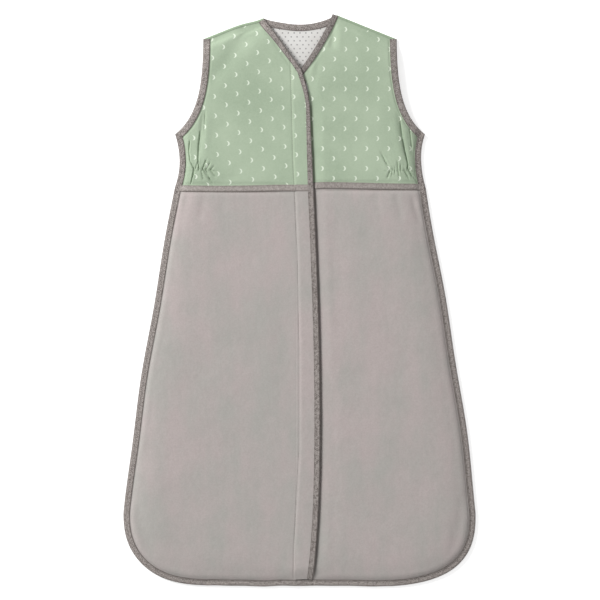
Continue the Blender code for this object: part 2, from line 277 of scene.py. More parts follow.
# start, end, width and depth in millimetres; a negative depth is a ridge
drapes = (
    ((-60, 442), (-96, 414), 3.0, 1.5), ((-70, 434), (-142, 342), 13.0, 2.2),
    ((-88, 440), (-128, 398), 8.0, -0.9), ((-151, 300), (-160, 226), 3.6, 1.9),
    ((-143, 290), (-150, 232), 6.0, -0.8), ((54, 436), (50, 398), 5.0, 1.6),
    ((64, 430), (62, 390), 6.0, -0.6), ((154, 292), (169, 218), 3.4, 2.0),
    ((146, 280), (160, 226), 6.0, -0.7), ((171, 268), (177, 226), 3.0, 1.3),
    ((-40, 402), (-13, 366), 3.0, 0.9), ((-35, 396), (-14, 372), 5.0, -0.8),
    ((-176, 246), (-180, 214), 3.0, 1.0), ((30, 380), (22, 340), 5.0, 0.8),
    ((120, 210), (150, 188), 7.0, 0.7), ((-100, 196), (-130, 186), 6.0, 0.6),
)
skirtDrapes = (
    ((-178, 168), (-192, 118), 7.0, 0.9), ((-150, 168), (-158, 128), 6.0, 0.8),
    ((150, 168), (160, 128), 6.0, 0.9), ((176, 164), (190, 120), 5.0, 1.2),
    ((186, 160), (206, 90), 5.0, -0.8), ((-120, 168), (-122, 140), 8.0, 0.6),
    ((118, 168), (124, 138), 8.0, 0.7), ((52, 150), (60, -60), 14.0, 0.7),
    ((-262, -300), (-235, -398), 9.0, 1.1), ((-228, -260), (-212, -372), 16.0, -0.8),
    ((262, -300), (238, -396), 9.0, 1.1), ((48, -120), (52, -400), 10.0, 0.8),
    ((-250, -240), (-262, -320), 6.0, 0.7), ((-120, -60), (-180, -150), 22.0, 0.7),
    ((120, 20), (180, -120), 24.0, 0.7), ((-60, 60), (-40, -160), 18.0, -0.6),
)
# paths of the gathers in millimetres, each from the top down with its depth, kinked at the elastic
gathers = {
    -1: (
        (1.9, (-149, 296), (-150.5, 262)), (3.0, (-157, 266), (-159.5, 244), (-160.5, 222), (-159, 205)),
        (2.6, (-173.5, 251), (-175, 235), (-173.5, 220), (-166.5, 206)), (2.4, (-167, 208), (-172, 184)),
        (2.4, (-147, 222), (-153.5, 206)), (2.6, (-153.5, 208), (-144.5, 194), (-137, 185)),
        (1.9, (-141, 218), (-148, 205)), (2.4, (-148.5, 207), (-141, 189)),
        (1.8, (-135, 212), (-141.5, 205)), (2.2, (-141, 206.5), (-133, 194)), (1.6, (-159.5, 222), (-165, 206)),
        (1.8, (-165, 206), (-169.5, 194)),
        (1.7, (-156, 207), (-152, 190)), (1.4, (-181.5, 236), (-180.5, 214), (-182, 200)),
    ),
    1: (
        (2.0, (157, 288), (160.5, 257)), (3.4, (161, 255), (164.5, 236), (169.5, 214), (168, 206)),
        (1.7, (172.5, 271), (175, 252), (176, 238)), (2.3, (127, 234), (138.5, 210), (142, 205), (137, 192)),
        (1.9, (153, 219), (154, 206), (156.5, 192)), (1.5, (145.5, 209), (144.5, 195)),
        (1.4, (149.7, 211), (148.8, 197)), (2.3, (169, 209), (176, 194)), (2.1, (163, 206), (171, 192)),
        (1.9, (174, 200), (183, 187)), (1.4, (158.3, 214), (158.6, 203)),
    ),
}
gatherLook = {"width": 1.05, "shoulder": 0.4}


def gatherCreases(sign):
    # a valley with raised shoulders along each stretch of each path
    found = []
    for depth, *path in gathers[sign]:
        for high, low in zip(path[:-1], path[1:]):
            found.append((high, low, gatherLook["width"], depth * (1 + gatherLook["shoulder"])))
            found.append((high, low, gatherLook["width"] * 2.4, -depth * gatherLook["shoulder"]))
    return found


def waves(x, y, seed, count=7, low=70, high=190):
    # a sum of sines of random direction, from minus one to one
    seeds = np.random.default_rng(seed)
    total = np.zeros(np.shape(x))
    for angle, length, phase in zip(
        seeds.uniform(0, math.pi, count), seeds.uniform(low, high, count) * mm, seeds.uniform(0, 6.3, count)
    ):
        total += np.sin(2 * math.pi * (x * math.cos(angle) + y * math.sin(angle)) / length + phase)
    return total / count


halfArea = (0.0, hemHalf + 4 * mm, bottomY - 4 * mm, topY + 4 * mm)
wholeArea = (-hemHalf, hemHalf, 0.30, topY + 4 * mm)
sewnTable = sampled(
    lambda x, y: np.minimum(distanceTo(x, y, rimCoarse), distanceTo(x, y, shoulder)), *halfArea, 2.5 * mm
)
armTable = sampled(lambda x, y: distanceTo(x, y, evenly(armhole, 8 * mm)), *halfArea, 3 * mm)
neckTable = sampled(lambda x, y: np.minimum(distanceTo(x, y, leftV), distanceTo(x, y, rightV)), *wholeArea)


def closedDistance(x, y):
    # to the edges where front and back are sewn together
    return sewnTable(np.abs(x), y)


def pillow(x, y, edge, middle):
    # flat under the binding, then rising as one minus an exponential of the distance
    reach = np.maximum(closedDistance(x, y) - loft["flat"], 0)
    return edge + (middle - edge) * (1 - np.exp(-reach / loft["rise"]))


def backBottom(x, y):
    # the underside: flat where it lies, lifted a little at the closed edges
    return 0.9 * mm * np.exp(-closedDistance(x, y) / (7 * mm)) + 0.25 * mm * (1 + waves(x, y, 3))


def backTop(x, y):
    # the back's own pillow, less a bell along its waist seam, plus slow waves
    rest = pillow(x, y, loft["backEdge"], loft["backMiddle"])
    seam = bell(y - waistY, 6 * mm) * 0.5 * mm
    return rest - seam + 0.35 * mm * waves(x, y, 5)


def frontBottom(x, y):
    # the back's top plus the air between the layers, more of it at the openings
    return backTop(x, y) + loft["air"] + 2.6 * mm * openness(x, y)


def openness(x, y):
    # how far the front lining stands off the back: most in the middle of each armhole and at the neck
    half = np.abs(x)
    arm = bell(np.hypot(half - 0.160, y - 0.325) - 0.02, 40 * mm)
    neck = bell(np.hypot(x, y - topY + 0.05), 60 * mm)
    return np.maximum(arm, neck) * smooth(closedDistance(x, y) / (26 * mm))


# each dip of the front is its depth, how far in it lies and its width
dips = {
    "armhole": 1.7 * mm, "armholeFade": 8 * mm, "neck": 1.6 * mm, "neckFade": 7 * mm, "yokeFrom": 0.30,
    "shoulder": 1.2 * mm, "shoulderFrom": 0.36, "shoulderRun": 0.08,
    "waist": ((1.7 * mm, 7 * mm), (0.7 * mm, 20 * mm)),
    "tapeShift": (-1.3 * mm, 2.0 * mm), "underTape": (2.3 * mm, 6.4 * mm, 1.7 * mm),
    "overTape": (0.8 * mm, 6.8 * mm, 1.4 * mm), "besideRim": (0.9 * mm, 11.2 * mm, 1.5 * mm),
    "swellAtRim": (0.7 * mm, 17 * mm, 5 * mm), "besideArm": (12.2 * mm, 1.5 * mm),
    "besideNeck": (11.6 * mm, 1.4 * mm), "openDepth": 0.8 * mm,
}
elasticSwell = {"height": 1.8 * mm, "x": 0.156, "wide": 24 * mm, "y": 0.214, "tall": 18 * mm}
elasticLine = {"depth": 0.6 * mm, "x": 0.157, "y": 0.204, "wander": 1.2 * mm, "turns": 700, "fat": 1.6 * mm,
               "wide": 24 * mm}
leastFront = 1.9 * mm  # what the front keeps above its own lining


def openDips(x, y, arm):
    # along the armhole and the neck: a fade from the edge, and a narrow bell beside the binding
    besideArm, besideNeck, neck = dips["besideArm"], dips["besideNeck"], neckTable(x, y)
    total = dips["armhole"] * np.exp(-arm / dips["armholeFade"]) * smooth(closedDistance(x, y) / (14 * mm))
    total += dips["neck"] * np.exp(-neck / dips["neckFade"]) * (y > dips["yokeFrom"])
    total += dips["shoulder"] * smooth((y - dips["shoulderFrom"]) / dips["shoulderRun"])
    narrow = bell(arm - besideArm[0], besideArm[1])
    narrow = narrow + bell(neck - besideNeck[0], besideNeck[1]) * (y > dips["yokeFrom"])
    return total + dips["openDepth"] * narrow


def waistDips(x, y):
    # two bells on the seam, and a narrow one below and above the tape, which sits off the seam
    waist = y - waistY
    total = sum(depth * bell(waist, wide) for depth, wide in dips["waist"])
    waist = waist - np.where(x < 0, *dips["tapeShift"])
    depth, away, wide = dips["underTape"]
    total = total + depth * bell(waist + away, wide)
    depth, away, wide = dips["overTape"]
    return total + depth * bell(waist - away, wide)


def gatherHeight(x, y, sign):
    # one side's gathers, a low swelling round them and the thin wandering line of the elastic
    swell, line = elasticSwell, elasticLine
    near = (sign * x > 0.11) & (y > waistY - 2 * mm) & (y < waistY + 130 * mm)
    if not near.any():
        return 0.0
    z = sum(crease(x, y, *fold) for fold in gatherCreases(sign)) * near
    z += swell["height"] * bell(sign * x - swell["x"], swell["wide"]) * bell(y - swell["y"], swell["tall"])
    wander = line["wander"] * np.sin(x * line["turns"])
    across = bell(sign * x - line["x"], line["wide"])
    return z - line["depth"] * bell(y - line["y"] - wander, line["fat"]) * across


def frontTop(x, y):
    # pillow, less the dips at the open edges and the waist, plus every drape, crease and gather
    sewn = closedDistance(x, y)
    z = pillow(x, y, loft["edge"], loft["middle"]) - openDips(x, y, armTable(np.abs(x), y)) - waistDips(x, y)
    for key, sign in (("besideRim", -1), ("swellAtRim", 1)):
        depth, away, wide = dips[key]
        z += sign * depth * bell(sewn - away, wide)
    z += (0.6 * waves(x, y, 17) + 0.25 * waves(x, y, 19, 6, 25, 60)) * mm * smooth(sewn / 0.03)
    for fold in drapes:
        z += crease(x, y, *fold) * (y > waistY - 4 * mm)
    for fold in skirtDrapes:
        z += crease(x, y, *fold) * (y < waistY + 2 * mm)
    z += gatherHeight(x, y, -1) + gatherHeight(x, y, 1)
    return blendToFlap(x, y, np.maximum(z, frontBottom(x, y) + leastFront))


def stitchLineX(y):
    # the row of stitches beside the fold, a little to either side of it on its way down
    ys = np.array([-0.440, -0.393, -0.236, -0.079, 0.079, 0.220, 0.315, 0.372])
    xs = np.array([-0.0110, -0.0100, -0.0010, -0.0010, -0.0040, -0.0110, -0.0134, -0.0150])
    return np.interp(y, ys, xs)


def offHem(y):
    # nought at the hem, one where the fold has its full height
    return smooth((y - bottomY - 3 * mm) / (28 * mm))


def foldHeight(x, y):
    # height along the fold: full height with a raised strip right of the stitches, sinking to the hem
    strip = 0.7 * mm * smooth((x - stitchLineX(y)) / (4.5 * mm))
    groove = 0.8 * mm * bell(x - stitchLineX(y), 0.9 * mm)
    full = hingeZ + strip - groove
    return loft["edge"] + 1.6 * mm + (full - loft["edge"] - 1.6 * mm) * offHem(y)


besideFlap = {"reach": 22 * mm, "step": 3 * mm, "foot": 0.6 * mm, "clear": 1 * mm, "rise": 20 * mm,
              "groove": 3.3 * mm, "grooveAt": 0.2 * mm, "grooveWide": 1.9 * mm, "grooveTop": 0.318,
              "grooveRun": 0.03}


def blendToFlap(x, y, z):
    # left of the fold the cloth meets the fold's height; under the flap it steps down; past the flap's
    # free edge it lies in a narrow groove and rises again
    look = besideFlap
    hold = foldHeight(x, y)
    beside = z + (hold - z) * np.exp(-np.abs(hingeX - x) / look["reach"])
    foot = loft["edge"] + look["foot"]
    sunk = foot + (loft["underFlap"] - foot) * offHem(y)
    lower = hold - (hold - sunk) * smooth((x - hingeX) / look["step"])
    out = x - freeEdgeX(y)
    right = sunk + (np.maximum(z, sunk) - sunk) * smooth((out - look["clear"]) / look["rise"])
    groove = bell(out - look["grooveAt"], look["grooveWide"])
    groove = groove * smooth((look["grooveTop"] - y) / look["grooveRun"])
    right = right - look["groove"] * groove * offHem(y)
    return np.where(x < hingeX, beside, np.where(x < chainX, lower, np.minimum(right, z)))


def flapTop(x, y):
    # rises from the fold, then sinks a little towards the bound edge
    out = x - hingeX
    z = foldHeight(x, y) + 0.5 * mm * (1 - np.exp(-out / (5 * mm))) * offHem(y)
    z -= 0.3 * mm * smooth((x - freeEdgeX(y) + 12 * mm) / (12 * mm))
    z += 0.4 * mm * waves(x, y, 29, 6, 40, 120) * smooth(out / (6 * mm)) * offHem(y)
    return z - 0.5 * mm * bell(y - waistY, 7 * mm) * smooth(out / (4 * mm))


def buildMesh(name, points, faces, uv=None, angle=50, edge=None):
    # points (n, 3), faces (m, 4); uv and edge have one row for each point
    mesh = bpy.data.meshes.new(name)
    mesh.vertices.add(len(points))
    mesh.vertices.foreach_set("co", np.asarray(points, np.float32).ravel())
    mesh.loops.add(faces.size)
    mesh.loops.foreach_set("vertex_index", faces.ravel().astype(np.int32))
    mesh.polygons.add(len(faces))
    mesh.polygons.foreach_set("loop_start", np.arange(0, faces.size, faces.shape[1], dtype=np.int32))
    mesh.polygons.foreach_set("use_smooth", np.ones(len(faces), bool))
    mesh.update(calc_edges=True)
    if uv is not None:
        layer = mesh.uv_layers.new(name="Run")
        layer.uv.foreach_set("vector", np.asarray(uv, np.float32)[faces.ravel()].ravel())
    if edge is not None:
        attribute = mesh.attributes.new("edge", "FLOAT", "POINT")
        attribute.data.foreach_set("value", np.ravel(edge).astype(np.float32))
    mesh.set_sharp_from_angle(angle=math.radians(angle))
    obj = bpy.data.objects.new(name, mesh)
    bpy.context.scene.collection.objects.link(obj)
    return obj


def gridFaces(rows, columns, base=0, aroundRows=False, aroundColumns=False):
    # quads between the points of a grid; around joins the last row or column to the first
    i = np.arange(rows if aroundRows else rows - 1)[:, None]
    j = np.arange(columns if aroundColumns else columns - 1)[None, :]
    after, beside = (i + 1) % rows, (j + 1) % columns
    low, high = i * columns, after * columns
    quads = np.stack([low + j, low + beside, high + beside, high + j], 2)
    return quads.reshape(-1, 4) + base


def faceUp(points, faces):
    # all faces turned round where the cross product of the first one's sides points down
    first, second, third = points[faces[0, :3]]
    return faces[:, ::-1] if np.cross(second - first, third - first)[2] < 0 else faces


def thickSheet(name, x, y, high, low):
    # the same grid at two heights, joined by a wall round its edge
    rows, columns = x.shape
    points = np.concatenate([np.stack([x, y, z], 2).reshape(-1, 3) for z in (high, low)])
    count = rows * columns
    index = np.arange(count).reshape(rows, columns)
    ring = np.concatenate([index[0, :-1], index[:-1, -1], index[-1, :0:-1], index[:0:-1, 0]])
    after = np.roll(ring, -1)
    wall = np.stack([after, ring, ring + count, after + count], 1)
    top, under = gridFaces(rows, columns), gridFaces(rows, columns, count)[:, ::-1]
    return buildMesh(name, points, faceUp(points, np.concatenate([top, under, wall])))


def coons(bottom, top, start, end, us, vs):
    # blends four border lines: the sum of both ruled surfaces less the bilinear one of the corners
    u, v = us[None, :, None], vs[:, None, None]
    low, high = resample(bottom, us)[None], resample(top, us)[None]
    first, last = resample(start, vs)[:, None], resample(end, vs)[:, None]
    ruled = (1 - v) * low + v * high + (1 - u) * first + u * last
    corners = (1 - u) * (1 - v) * low[:, :1] + u * (1 - v) * low[:, -1:]
    corners = corners + (1 - u) * v * high[:, :1] + u * v * high[:, -1:]
    grid = ruled - corners
    return grid[..., 0], grid[..., 1]


def clip(line, share0, share1, count=80):
    # the stretch of a line between two shares of its length
    return resample(line, np.linspace(share0, share1, count))


panelInset = 4.0 * mm  # how far the cloth ends inside the bound edge
rimIn = inset(rim, panelInset)
rimAlong = lengths(rim) / lengths(rim)[-1]
waistShare = float(np.interp(waistY, rim[:60, 1][::-1], rimAlong[:60][::-1]))
cornerShare = float(rimAlong[np.argmin(np.abs(rim[:, 0] - 0.235) + np.abs(rim[:, 1] - bottomY - 0.035))])
armIn = inset(armhole, panelInset)


def outerSide():
    # from the waist up the side, round the underarm and up the armhole to the shoulder
    up = clip(rimIn, 0.0, waistShare)[::-1]
    up = up[up[:, 1] < underarmY - 9 * mm]
    arm = armIn[::-1]
    return np.vstack([up, arm[arm[:, 0] < cut["underarmHalf"] - 7 * mm]])


def spread(count):
    # shares that crowd towards both ends: t less a sine of twice its angle
    t = np.linspace(0, 1, count)
    return t - 0.115 * np.sin(2 * math.pi * t)


def frontYokeGrid(sign, frontX, vLine, reach=()):
    # vLine runs from its foot up to the neck point, both in the right half's coordinates;
    # reach holds the points by which the cloth leans over the zip's top to the foot of the neck
    outer = outerSide()
    seam = shoulder[0] + (0.0, -3 * mm)
    fall = (shoulder[1, 1] - shoulder[0, 1]) / (shoulder[1, 0] - shoulder[0, 0])
    across = inset(evenly(vLine, 2 * mm), panelInset)
    ahead = across[0] - (across[1] - across[0]) * 12  # carried on down to the front edge
    across = np.vstack([evenly(np.array([ahead, across[0]]), 2 * mm)[:-1], across])
    footX = reach[-1][0] if len(reach) else frontX
    inside = (across[:, 0] > footX) & (across[:, 1] < seam[1] + fall * (across[:, 0] - seam[0]))
    across = across[inside]
    start = np.array((footX, across[0, 1]))
    top = np.vstack([start, across, outer[-1]])
    bottom = np.array([(frontX, waistY), (outer[0, 0], waistY)])
    inner = np.array([(frontX, waistY), *reach, start])
    x, y = coons(bottom, top, inner, outer, spread(150), np.linspace(0, 1, 135))
    return sign * x, y


def frontSkirtGrid(sign, frontX):
    # the waist, the hem with half the corner, the zip's edge and the side, blended
    sideEnd = clip(rimIn, waistShare, cornerShare)
    hemEnd = clip(rimIn, cornerShare, 1.0)[::-1]
    hem = np.vstack([[(frontX, hemEnd[0, 1])], hemEnd[hemEnd[:, 0] > frontX]])
    waist = np.array([(frontX, waistY), sideEnd[0]])
    inner = np.array([(frontX, waistY), hem[0]])
    x, y = coons(waist, hem, inner, sideEnd, spread(150), np.linspace(0, 1, 230))
    return sign * x, y


def backYokeGrid():
    # the waist, both shoulders with the neck, and both outer sides, blended
    outer = outerSide()
    seamIn, neckIn = inset(shoulder, 3 * mm), inset(backNeck, panelInset)
    keep = neckIn[np.abs(neckIn[:, 0]) < cut["neckHalf"] - 3 * mm]
    rightTop = np.array([seamIn[0], outer[-1]])
    top = np.vstack([rightTop[::-1] * (-1, 1), keep, rightTop])
    bottom = np.array([(-outer[0, 0], waistY), (outer[0, 0], waistY)])
    us, vs = np.linspace(0, 1, 150), np.linspace(0, 1, 110)
    return coons(bottom, top, outer * (-1, 1), outer, us, vs)


def backSkirtGrid():
    # the waist, the whole hem with both corners, and both sides, blended
    sideEnd = clip(rimIn, waistShare, cornerShare)
    half = clip(rimIn, cornerShare, 1.0)[::-1]
    half = half[half[:, 0] > 0.5 * mm]
    hem = np.vstack([half[::-1] * (-1, 1), half])
    waist = np.array([sideEnd[0] * (-1, 1), sideEnd[0]])
    us, vs = np.linspace(0, 1, 150), np.linspace(0, 1, 170)
    return coons(waist, hem, sideEnd * (-1, 1), sideEnd, us, vs)


def joinGrids(lowGrid, highGrid):
    # a panel over both grids, which share the waist line: skirt reversed, then the yoke resampled to it.
    # Past the rows nearest the waist, two skirt rows of three are kept
    (sx, sy), (yx, yy) = lowGrid, highGrid
    near, count = 24, len(sx)
    kept = np.r_[:near, np.linspace(near, count - 1, (count - near) * 2 // 3).round().astype(int)]
    sx, sy = sx[kept], sy[kept]
    columns = min(sx.shape[1], yx.shape[1])

    def pick(grid):
        # the same number of columns, spread evenly over each row
        return grid[:, np.linspace(0, grid.shape[1] - 1, columns).round().astype(int)]

    return np.vstack([pick(sx)[::-1], pick(yx)[1:]]), np.vstack([pick(sy)[::-1], pick(yy)[1:]])


def sweptStrip(name, line, ringX, ringY, ringZ, edge):
    # a closed ring of section points carried along a line, its two ends filled; U runs along, V round
    points = np.stack([ringX, ringY, ringZ], 2)
    rows, columns = ringX.shape
    run = np.broadcast_to(lengths(line)[:, None], (rows, columns))
    turn = np.broadcast_to(lengths(points[rows // 2])[None], (rows, columns))
    k = np.arange(columns // 2 - 1)
    ends = np.stack([k, k + 1, columns - 2 - k, columns - 1 - k], 1)
    sides = gridFaces(rows, columns, aroundColumns=True)
    faces = np.concatenate([sides, ends[:, ::-1], ends + (rows - 1) * columns])
    points = points.reshape(-1, 3)
    return buildMesh(name, points, faceUp(points, faces), np.stack([run, turn], 2).reshape(-1, 2), 60, edge)


# how far along a binding's leaf its section has points, from the cut edge to the fold
leafShares = np.array([1.0, 0.965, 0.9, 0.76, 0.62, 0.48, 0.36, 0.26, 0.18, 0.12, 0.07, 0.035, 0.01])
# the last two entries are the widths of the painted shade at the fold and at the cut edge
bindFold = {"thick": 1.0 * mm, "lift": 0.9 * mm, "fold": 3.0 * mm, "thinnest": 0.15 * mm, "cutFall": 0.225,
            "darkFold": 1.1 * mm, "darkCut": 1.0 * mm}


# the last argument scales the painted shade along the cut edge
def edgeBinding(name, line, width, upper, lower, thick=bindFold["thick"], lift=bindFold["lift"],
                fold=bindFold["fold"], darkCut=1.0):
    # a tape folded round an edge: a U section, open inwards, carried along the edge.
    # Its leaves follow the cloth, and close on each other as a circle does over the fold
    inward = inwardOf(line)
    width, lift, thick, fold = (np.broadcast_to(v, len(line))[:, None] for v in (width, lift, thick, fold))

    def leaf(shrink):
        # both faces of one side of the tape: the cloth's heights, lifted, times the circle's rise
        a = shrink + leafShares[None, :] * (width - shrink)
        x = line[:, :1] + a * inward[:, :1]
        y = line[:, 1:] + a * inward[:, 1:]
        top, bottom = upper(x, y) + lift, np.maximum(lower(x, y) - lift, 0.0)
        curve = np.sqrt(np.clip(1 - ((fold - np.minimum(a - shrink, fold)) / fold) ** 2, 0, 1))
        half = np.maximum((top - bottom) / 2 - shrink, bindFold["thinnest"]) * curve
        # painted shade: the edge attribute darkens the tape along its fold and its cut edge
        dark = np.exp(-((a / bindFold["darkFold"]) ** 2))
        dark = dark + darkCut * np.exp(-(((width - a) / bindFold["darkCut"]) ** 2))
        middle = (top + bottom) / 2
        return x, y, middle + half, middle - half, middle, dark

    x, y, high, low, middle, dark = leaf(0.0 * thick)
    nx, ny, inHigh, inLow, inMiddle, inDark = leaf(thick)
    high[:, :1] -= bindFold["cutFall"] * lift  # the cut edges are rounded
    foldX, foldY = line[:, :1], line[:, 1:]
    inFoldX, inFoldY = line[:, :1] + thick * inward[:, :1], line[:, 1:] + thick * inward[:, 1:]
    ringX = np.hstack([x, foldX, x[:, ::-1], nx, inFoldX, nx[:, ::-1]])
    ringY = np.hstack([y, foldY, y[:, ::-1], ny, inFoldY, ny[:, ::-1]])
    ringZ = np.hstack([high, middle[:, -1:], low[:, ::-1], inLow, inMiddle[:, -1:], inHigh[:, ::-1]])
    edge = np.hstack([dark, dark[:, -1:], dark[:, ::-1], inDark, inDark[:, -1:], inDark[:, ::-1]])
    return sweptStrip(name, line, ringX, ringY, ringZ, edge)


# the last entry is the width of the painted shade along both edges of a tape
tapeSection = {"place": np.array([-0.5, -0.47, -0.38, -0.2, 0, 0.2, 0.38, 0.47, 0.5]),
               "swell": np.array([0.35, 0.72, 0.95, 1, 1, 1, 0.95, 0.72, 0.35]), "sunk": 0.25 * mm,
               "darkEdge": 0.9 * mm}


def tapeStrip(name, line, width, height, thick):
    # a woven tape laid on the cloth: a flat section with rounded edges carried along the line
    inward, place = inwardOf(line), tapeSection["place"]
    x = line[:, :1] + place[None] * width * inward[:, :1]
    y = line[:, 1:] + place[None] * width * inward[:, 1:]
    base = height(x, y)
    ringX, ringY = np.hstack([x, x[:, ::-1]]), np.hstack([y, y[:, ::-1]])
    ringZ = np.hstack([base + tapeSection["swell"] * thick, (base - tapeSection["sunk"])[:, ::-1]])
    # painted shade: darker towards both edges of the tape, carried in the edge attribute
    dark = np.exp(-(((0.5 - np.abs(place)) * width / tapeSection["darkEdge"]) ** 2))
    dark = np.broadcast_to(dark, base.shape)
    return sweptStrip(name, line, ringX, ringY, ringZ, np.hstack([dark, dark]))


def beads(name, centres, along, length, radius):
    # short threads: an ellipsoid of six sides and five rings at each centre, turned along the seam
    turn = np.linspace(0, 2 * math.pi, 6, endpoint=False)
    reach = np.array([-1.0, -0.55, 0.0, 0.55, 1.0])
    fat = np.sqrt(np.clip(1 - reach**2, 0.02, 1))
    local = np.stack(
        [
            np.repeat(reach, 6) * length / 2,
            np.outer(fat, np.cos(turn)).ravel() * radius,
            np.outer(fat, np.sin(turn)).ravel() * radius,
        ],
        1,
    )
    sideways = np.column_stack([-along[:, 1], along[:, 0]])
    points = np.zeros((len(centres), 30, 3))
    points[..., :2] = (
        centres[:, None, :2] + local[None, :, :1] * along[:, None] + local[None, :, 1:2] * sideways[:, None]
    )
    points[..., 2] = centres[:, None, 2] + local[None, :, 2]
    one = gridFaces(5, 6, aroundColumns=True)
    caps = np.array([(0, 1, 2, 5), (5, 2, 3, 4), (29, 26, 25, 24), (28, 27, 26, 29)])
    one = np.concatenate([one[:, ::-1], caps])
    faces = (one[None] + 30 * np.arange(len(centres))[:, None, None]).reshape(-1, 4)
    return buildMesh(name, points.reshape(-1, 3), faces, angle=80)


def stitchRow(name, line, height, pitch, length, radius, proud):
    # a thread at the middle of each even step of the line, turned along it
    places = evenly(line, pitch)
    middles = (places[1:] + places[:-1]) / 2
    along = np.diff(places, axis=0)
    along /= np.linalg.norm(along, axis=1)[:, None]
    z = height(middles[:, 0], middles[:, 1]) + proud
    return beads(name, np.column_stack([middles, z]), along, length, radius)


pieces, joins = {}, {}
seamGap = 0.05 * mm  # between a cloth and the wadding under it
# the edge by which the right front leans over the zip's top, to the foot of the neck
overZip = ((rightFrontX, 0.316), (0.0134, 0.327), (0.0119, 0.336), (0.0095, 0.344), (0.0061, 0.352),
           (0.0036, 0.358))


def put(name, obj, node, slotName, body="bag"):
    # notes a piece with the node it stands for, its finish and the body it rides on
    pieces[name] = obj
    joins[name] = (node, slotName, body)


def addLayer(name, grid, high, low, node, slotName, body="bag"):
    # a sheet over a grid between two heights
    x, y = grid
    put(name, thickSheet(name, x, y, high(x, y), low(x, y)), node, slotName, body)


def addBinding(name, line, width, upper, lower, node, slotName="rib_binding", body="bag", **look):
    # a tape folded round the line, between two heights
    put(name, edgeBinding(name, line, width, upper, lower, **look), node, slotName, body)


def addTape(name, line, width, height, thick, node, slotName="waist_tape", body="bag"):
    # a flat tape along the line, on a height
    put(name, tapeStrip(name, line, width, height, thick), node, slotName, body)


def under(height, depth):
    # a height, less a depth
    return lambda x, y: height(x, y) - depth


def over(height, lift):
    # a height, plus a lift
    return lambda x, y: height(x, y) + lift


def level(z):
    # the same height everywhere
    return lambda x, y: 0.0 * x + z


def sided(line, sign):
    # a line of the right half, or its mirror image for the left half
    return mirrored(line) if sign < 0 else line


leftYoke = frontYokeGrid(-1, -leftFrontX, mirrored(leftV))
rightYoke = frontYokeGrid(1, rightFrontX, rightV, overZip)
leftSkirt, rightSkirt = frontSkirtGrid(-1, -leftFrontX), frontSkirtGrid(1, rightFrontX)
backYoke, backSkirt = backYokeGrid(), backSkirtGrid()
wholeBack = joinGrids(backSkirt, backYoke)
backCloth, backInner = over(backBottom, loft["cloth"]), over(backBottom, loft["cloth"] + seamGap)
addLayer("backYokeCloth", backYoke, backCloth, backBottom, "back_yoke", "yoke_cotton")
addLayer("backSkirtCloth", backSkirt, backCloth, backBottom, "back_skirt", "skirt_velour")
addLayer("backLiningCloth", wholeBack, backTop, under(backTop, loft["lining"]), "back_lining",
         "lining_cotton")
addLayer("backFill", wholeBack, under(backTop, loft["lining"] + seamGap), backInner, "back_wadding",
         "wadding")
print("scene: back made", flush=True)

frontUnder, liningTop = under(frontTop, loft["cloth"]), over(frontBottom, loft["lining"])
for side, yokeGrid, skirtGrid in (("left", leftYoke, leftSkirt), ("right", rightYoke, rightSkirt)):
    whole = joinGrids(skirtGrid, yokeGrid)
    addLayer(f"{side}FrontYoke", yokeGrid, frontTop, frontUnder, f"{side}_front_yoke", "yoke_cotton")
    addLayer(f"{side}FrontSkirt", skirtGrid, frontTop, frontUnder, f"{side}_front_skirt", "skirt_velour")
    addLayer(f"{side}FrontLining", whole, liningTop, frontBottom, f"{side}_front_lining", "lining_cotton")
    addLayer(f"{side}FrontFill", whole, under(frontUnder, seamGap), over(liningTop, seamGap),
             f"{side}_front_wadding", "wadding")
print("scene: fronts made", flush=True)

bindWidth = {"side": 10 * mm, "hem": 10 * mm, "arm": 11 * mm, "neckTop": 11 * mm, "neckFoot": 7.5 * mm,
             "rightNeckFoot": 8.6 * mm, "rightNeck": 9.5 * mm, "backNeck": 10.5 * mm, "flapHigh": 6.3 * mm,
             "flapLow": 9.2 * mm, "shoulder": 4 * mm}
hemWave = {"height": 0.5 * mm, "turns": 55, "fade": 8}
thinFold = {"thick": 0.8 * mm, "lift": 0.5 * mm}
sideRim = resample(rim, np.linspace(0.0, 1.0, 330))
sideRim = sideRim[: np.argmax(sideRim[:, 1] < bottomY + 0.3 * mm) + 1]
hemX = np.linspace(sideRim[-1, 0] - 0.2 * mm, 0.2 * mm - sideRim[-1, 0], 130)
hemRise = hemWave["height"] * np.sin(hemX * hemWave["turns"]) ** 2
hemRise = hemRise * (1 - (hemX / hemX[0]) ** hemWave["fade"])
hemRun = np.column_stack([hemX, bottomY + hemRise])
armRun = resample(armhole, np.linspace(0, 1, 90))
shoulderRun = evenly(shoulder, 3 * mm)
for sign, side in ((-1, "left"), (1, "right")):
    sideRun, arm = sided(sideRim, sign), sided(armRun, sign)
    addBinding(f"{side}SideFold", sideRun, bindWidth["side"], frontTop, backBottom, f"{side}_side_binding")
    addBinding(f"{side}ArmFront", arm, bindWidth["arm"], frontTop, frontBottom,
               f"{side}_armhole_binding_front")
    addBinding(f"{side}ArmBack", arm, bindWidth["arm"], backTop, backBottom, f"{side}_armhole_binding_back",
               **thinFold)
    addBinding(f"{side}Shoulder", sided(shoulderRun, sign), bindWidth["shoulder"], frontTop, backBottom,
               f"{side}_shoulder_seam", "seam", thick=thinFold["thick"], lift=0.4 * mm)
addBinding("hemFold", hemRun, bindWidth["hem"], frontTop, backBottom, "hem_binding")
addBinding("neckBackFold", resample(backNeck, np.linspace(0, 1, 60)), bindWidth["backNeck"], backTop,
           backBottom, "neck_binding_back", thick=thinFold["thick"], lift=0.6 * mm)

apex = leftV[1]
hingeAtV = leftV[0] + (leftV[1] - leftV[0]) * (hingeX - leftV[0, 0]) / (leftV[1, 0] - leftV[0, 0])


def bowed(line, depth):
    # pushed sideways by half a sine over its length
    return line - np.outer(np.sin(math.pi * np.linspace(0, 1, len(line))), (depth, 0.0))


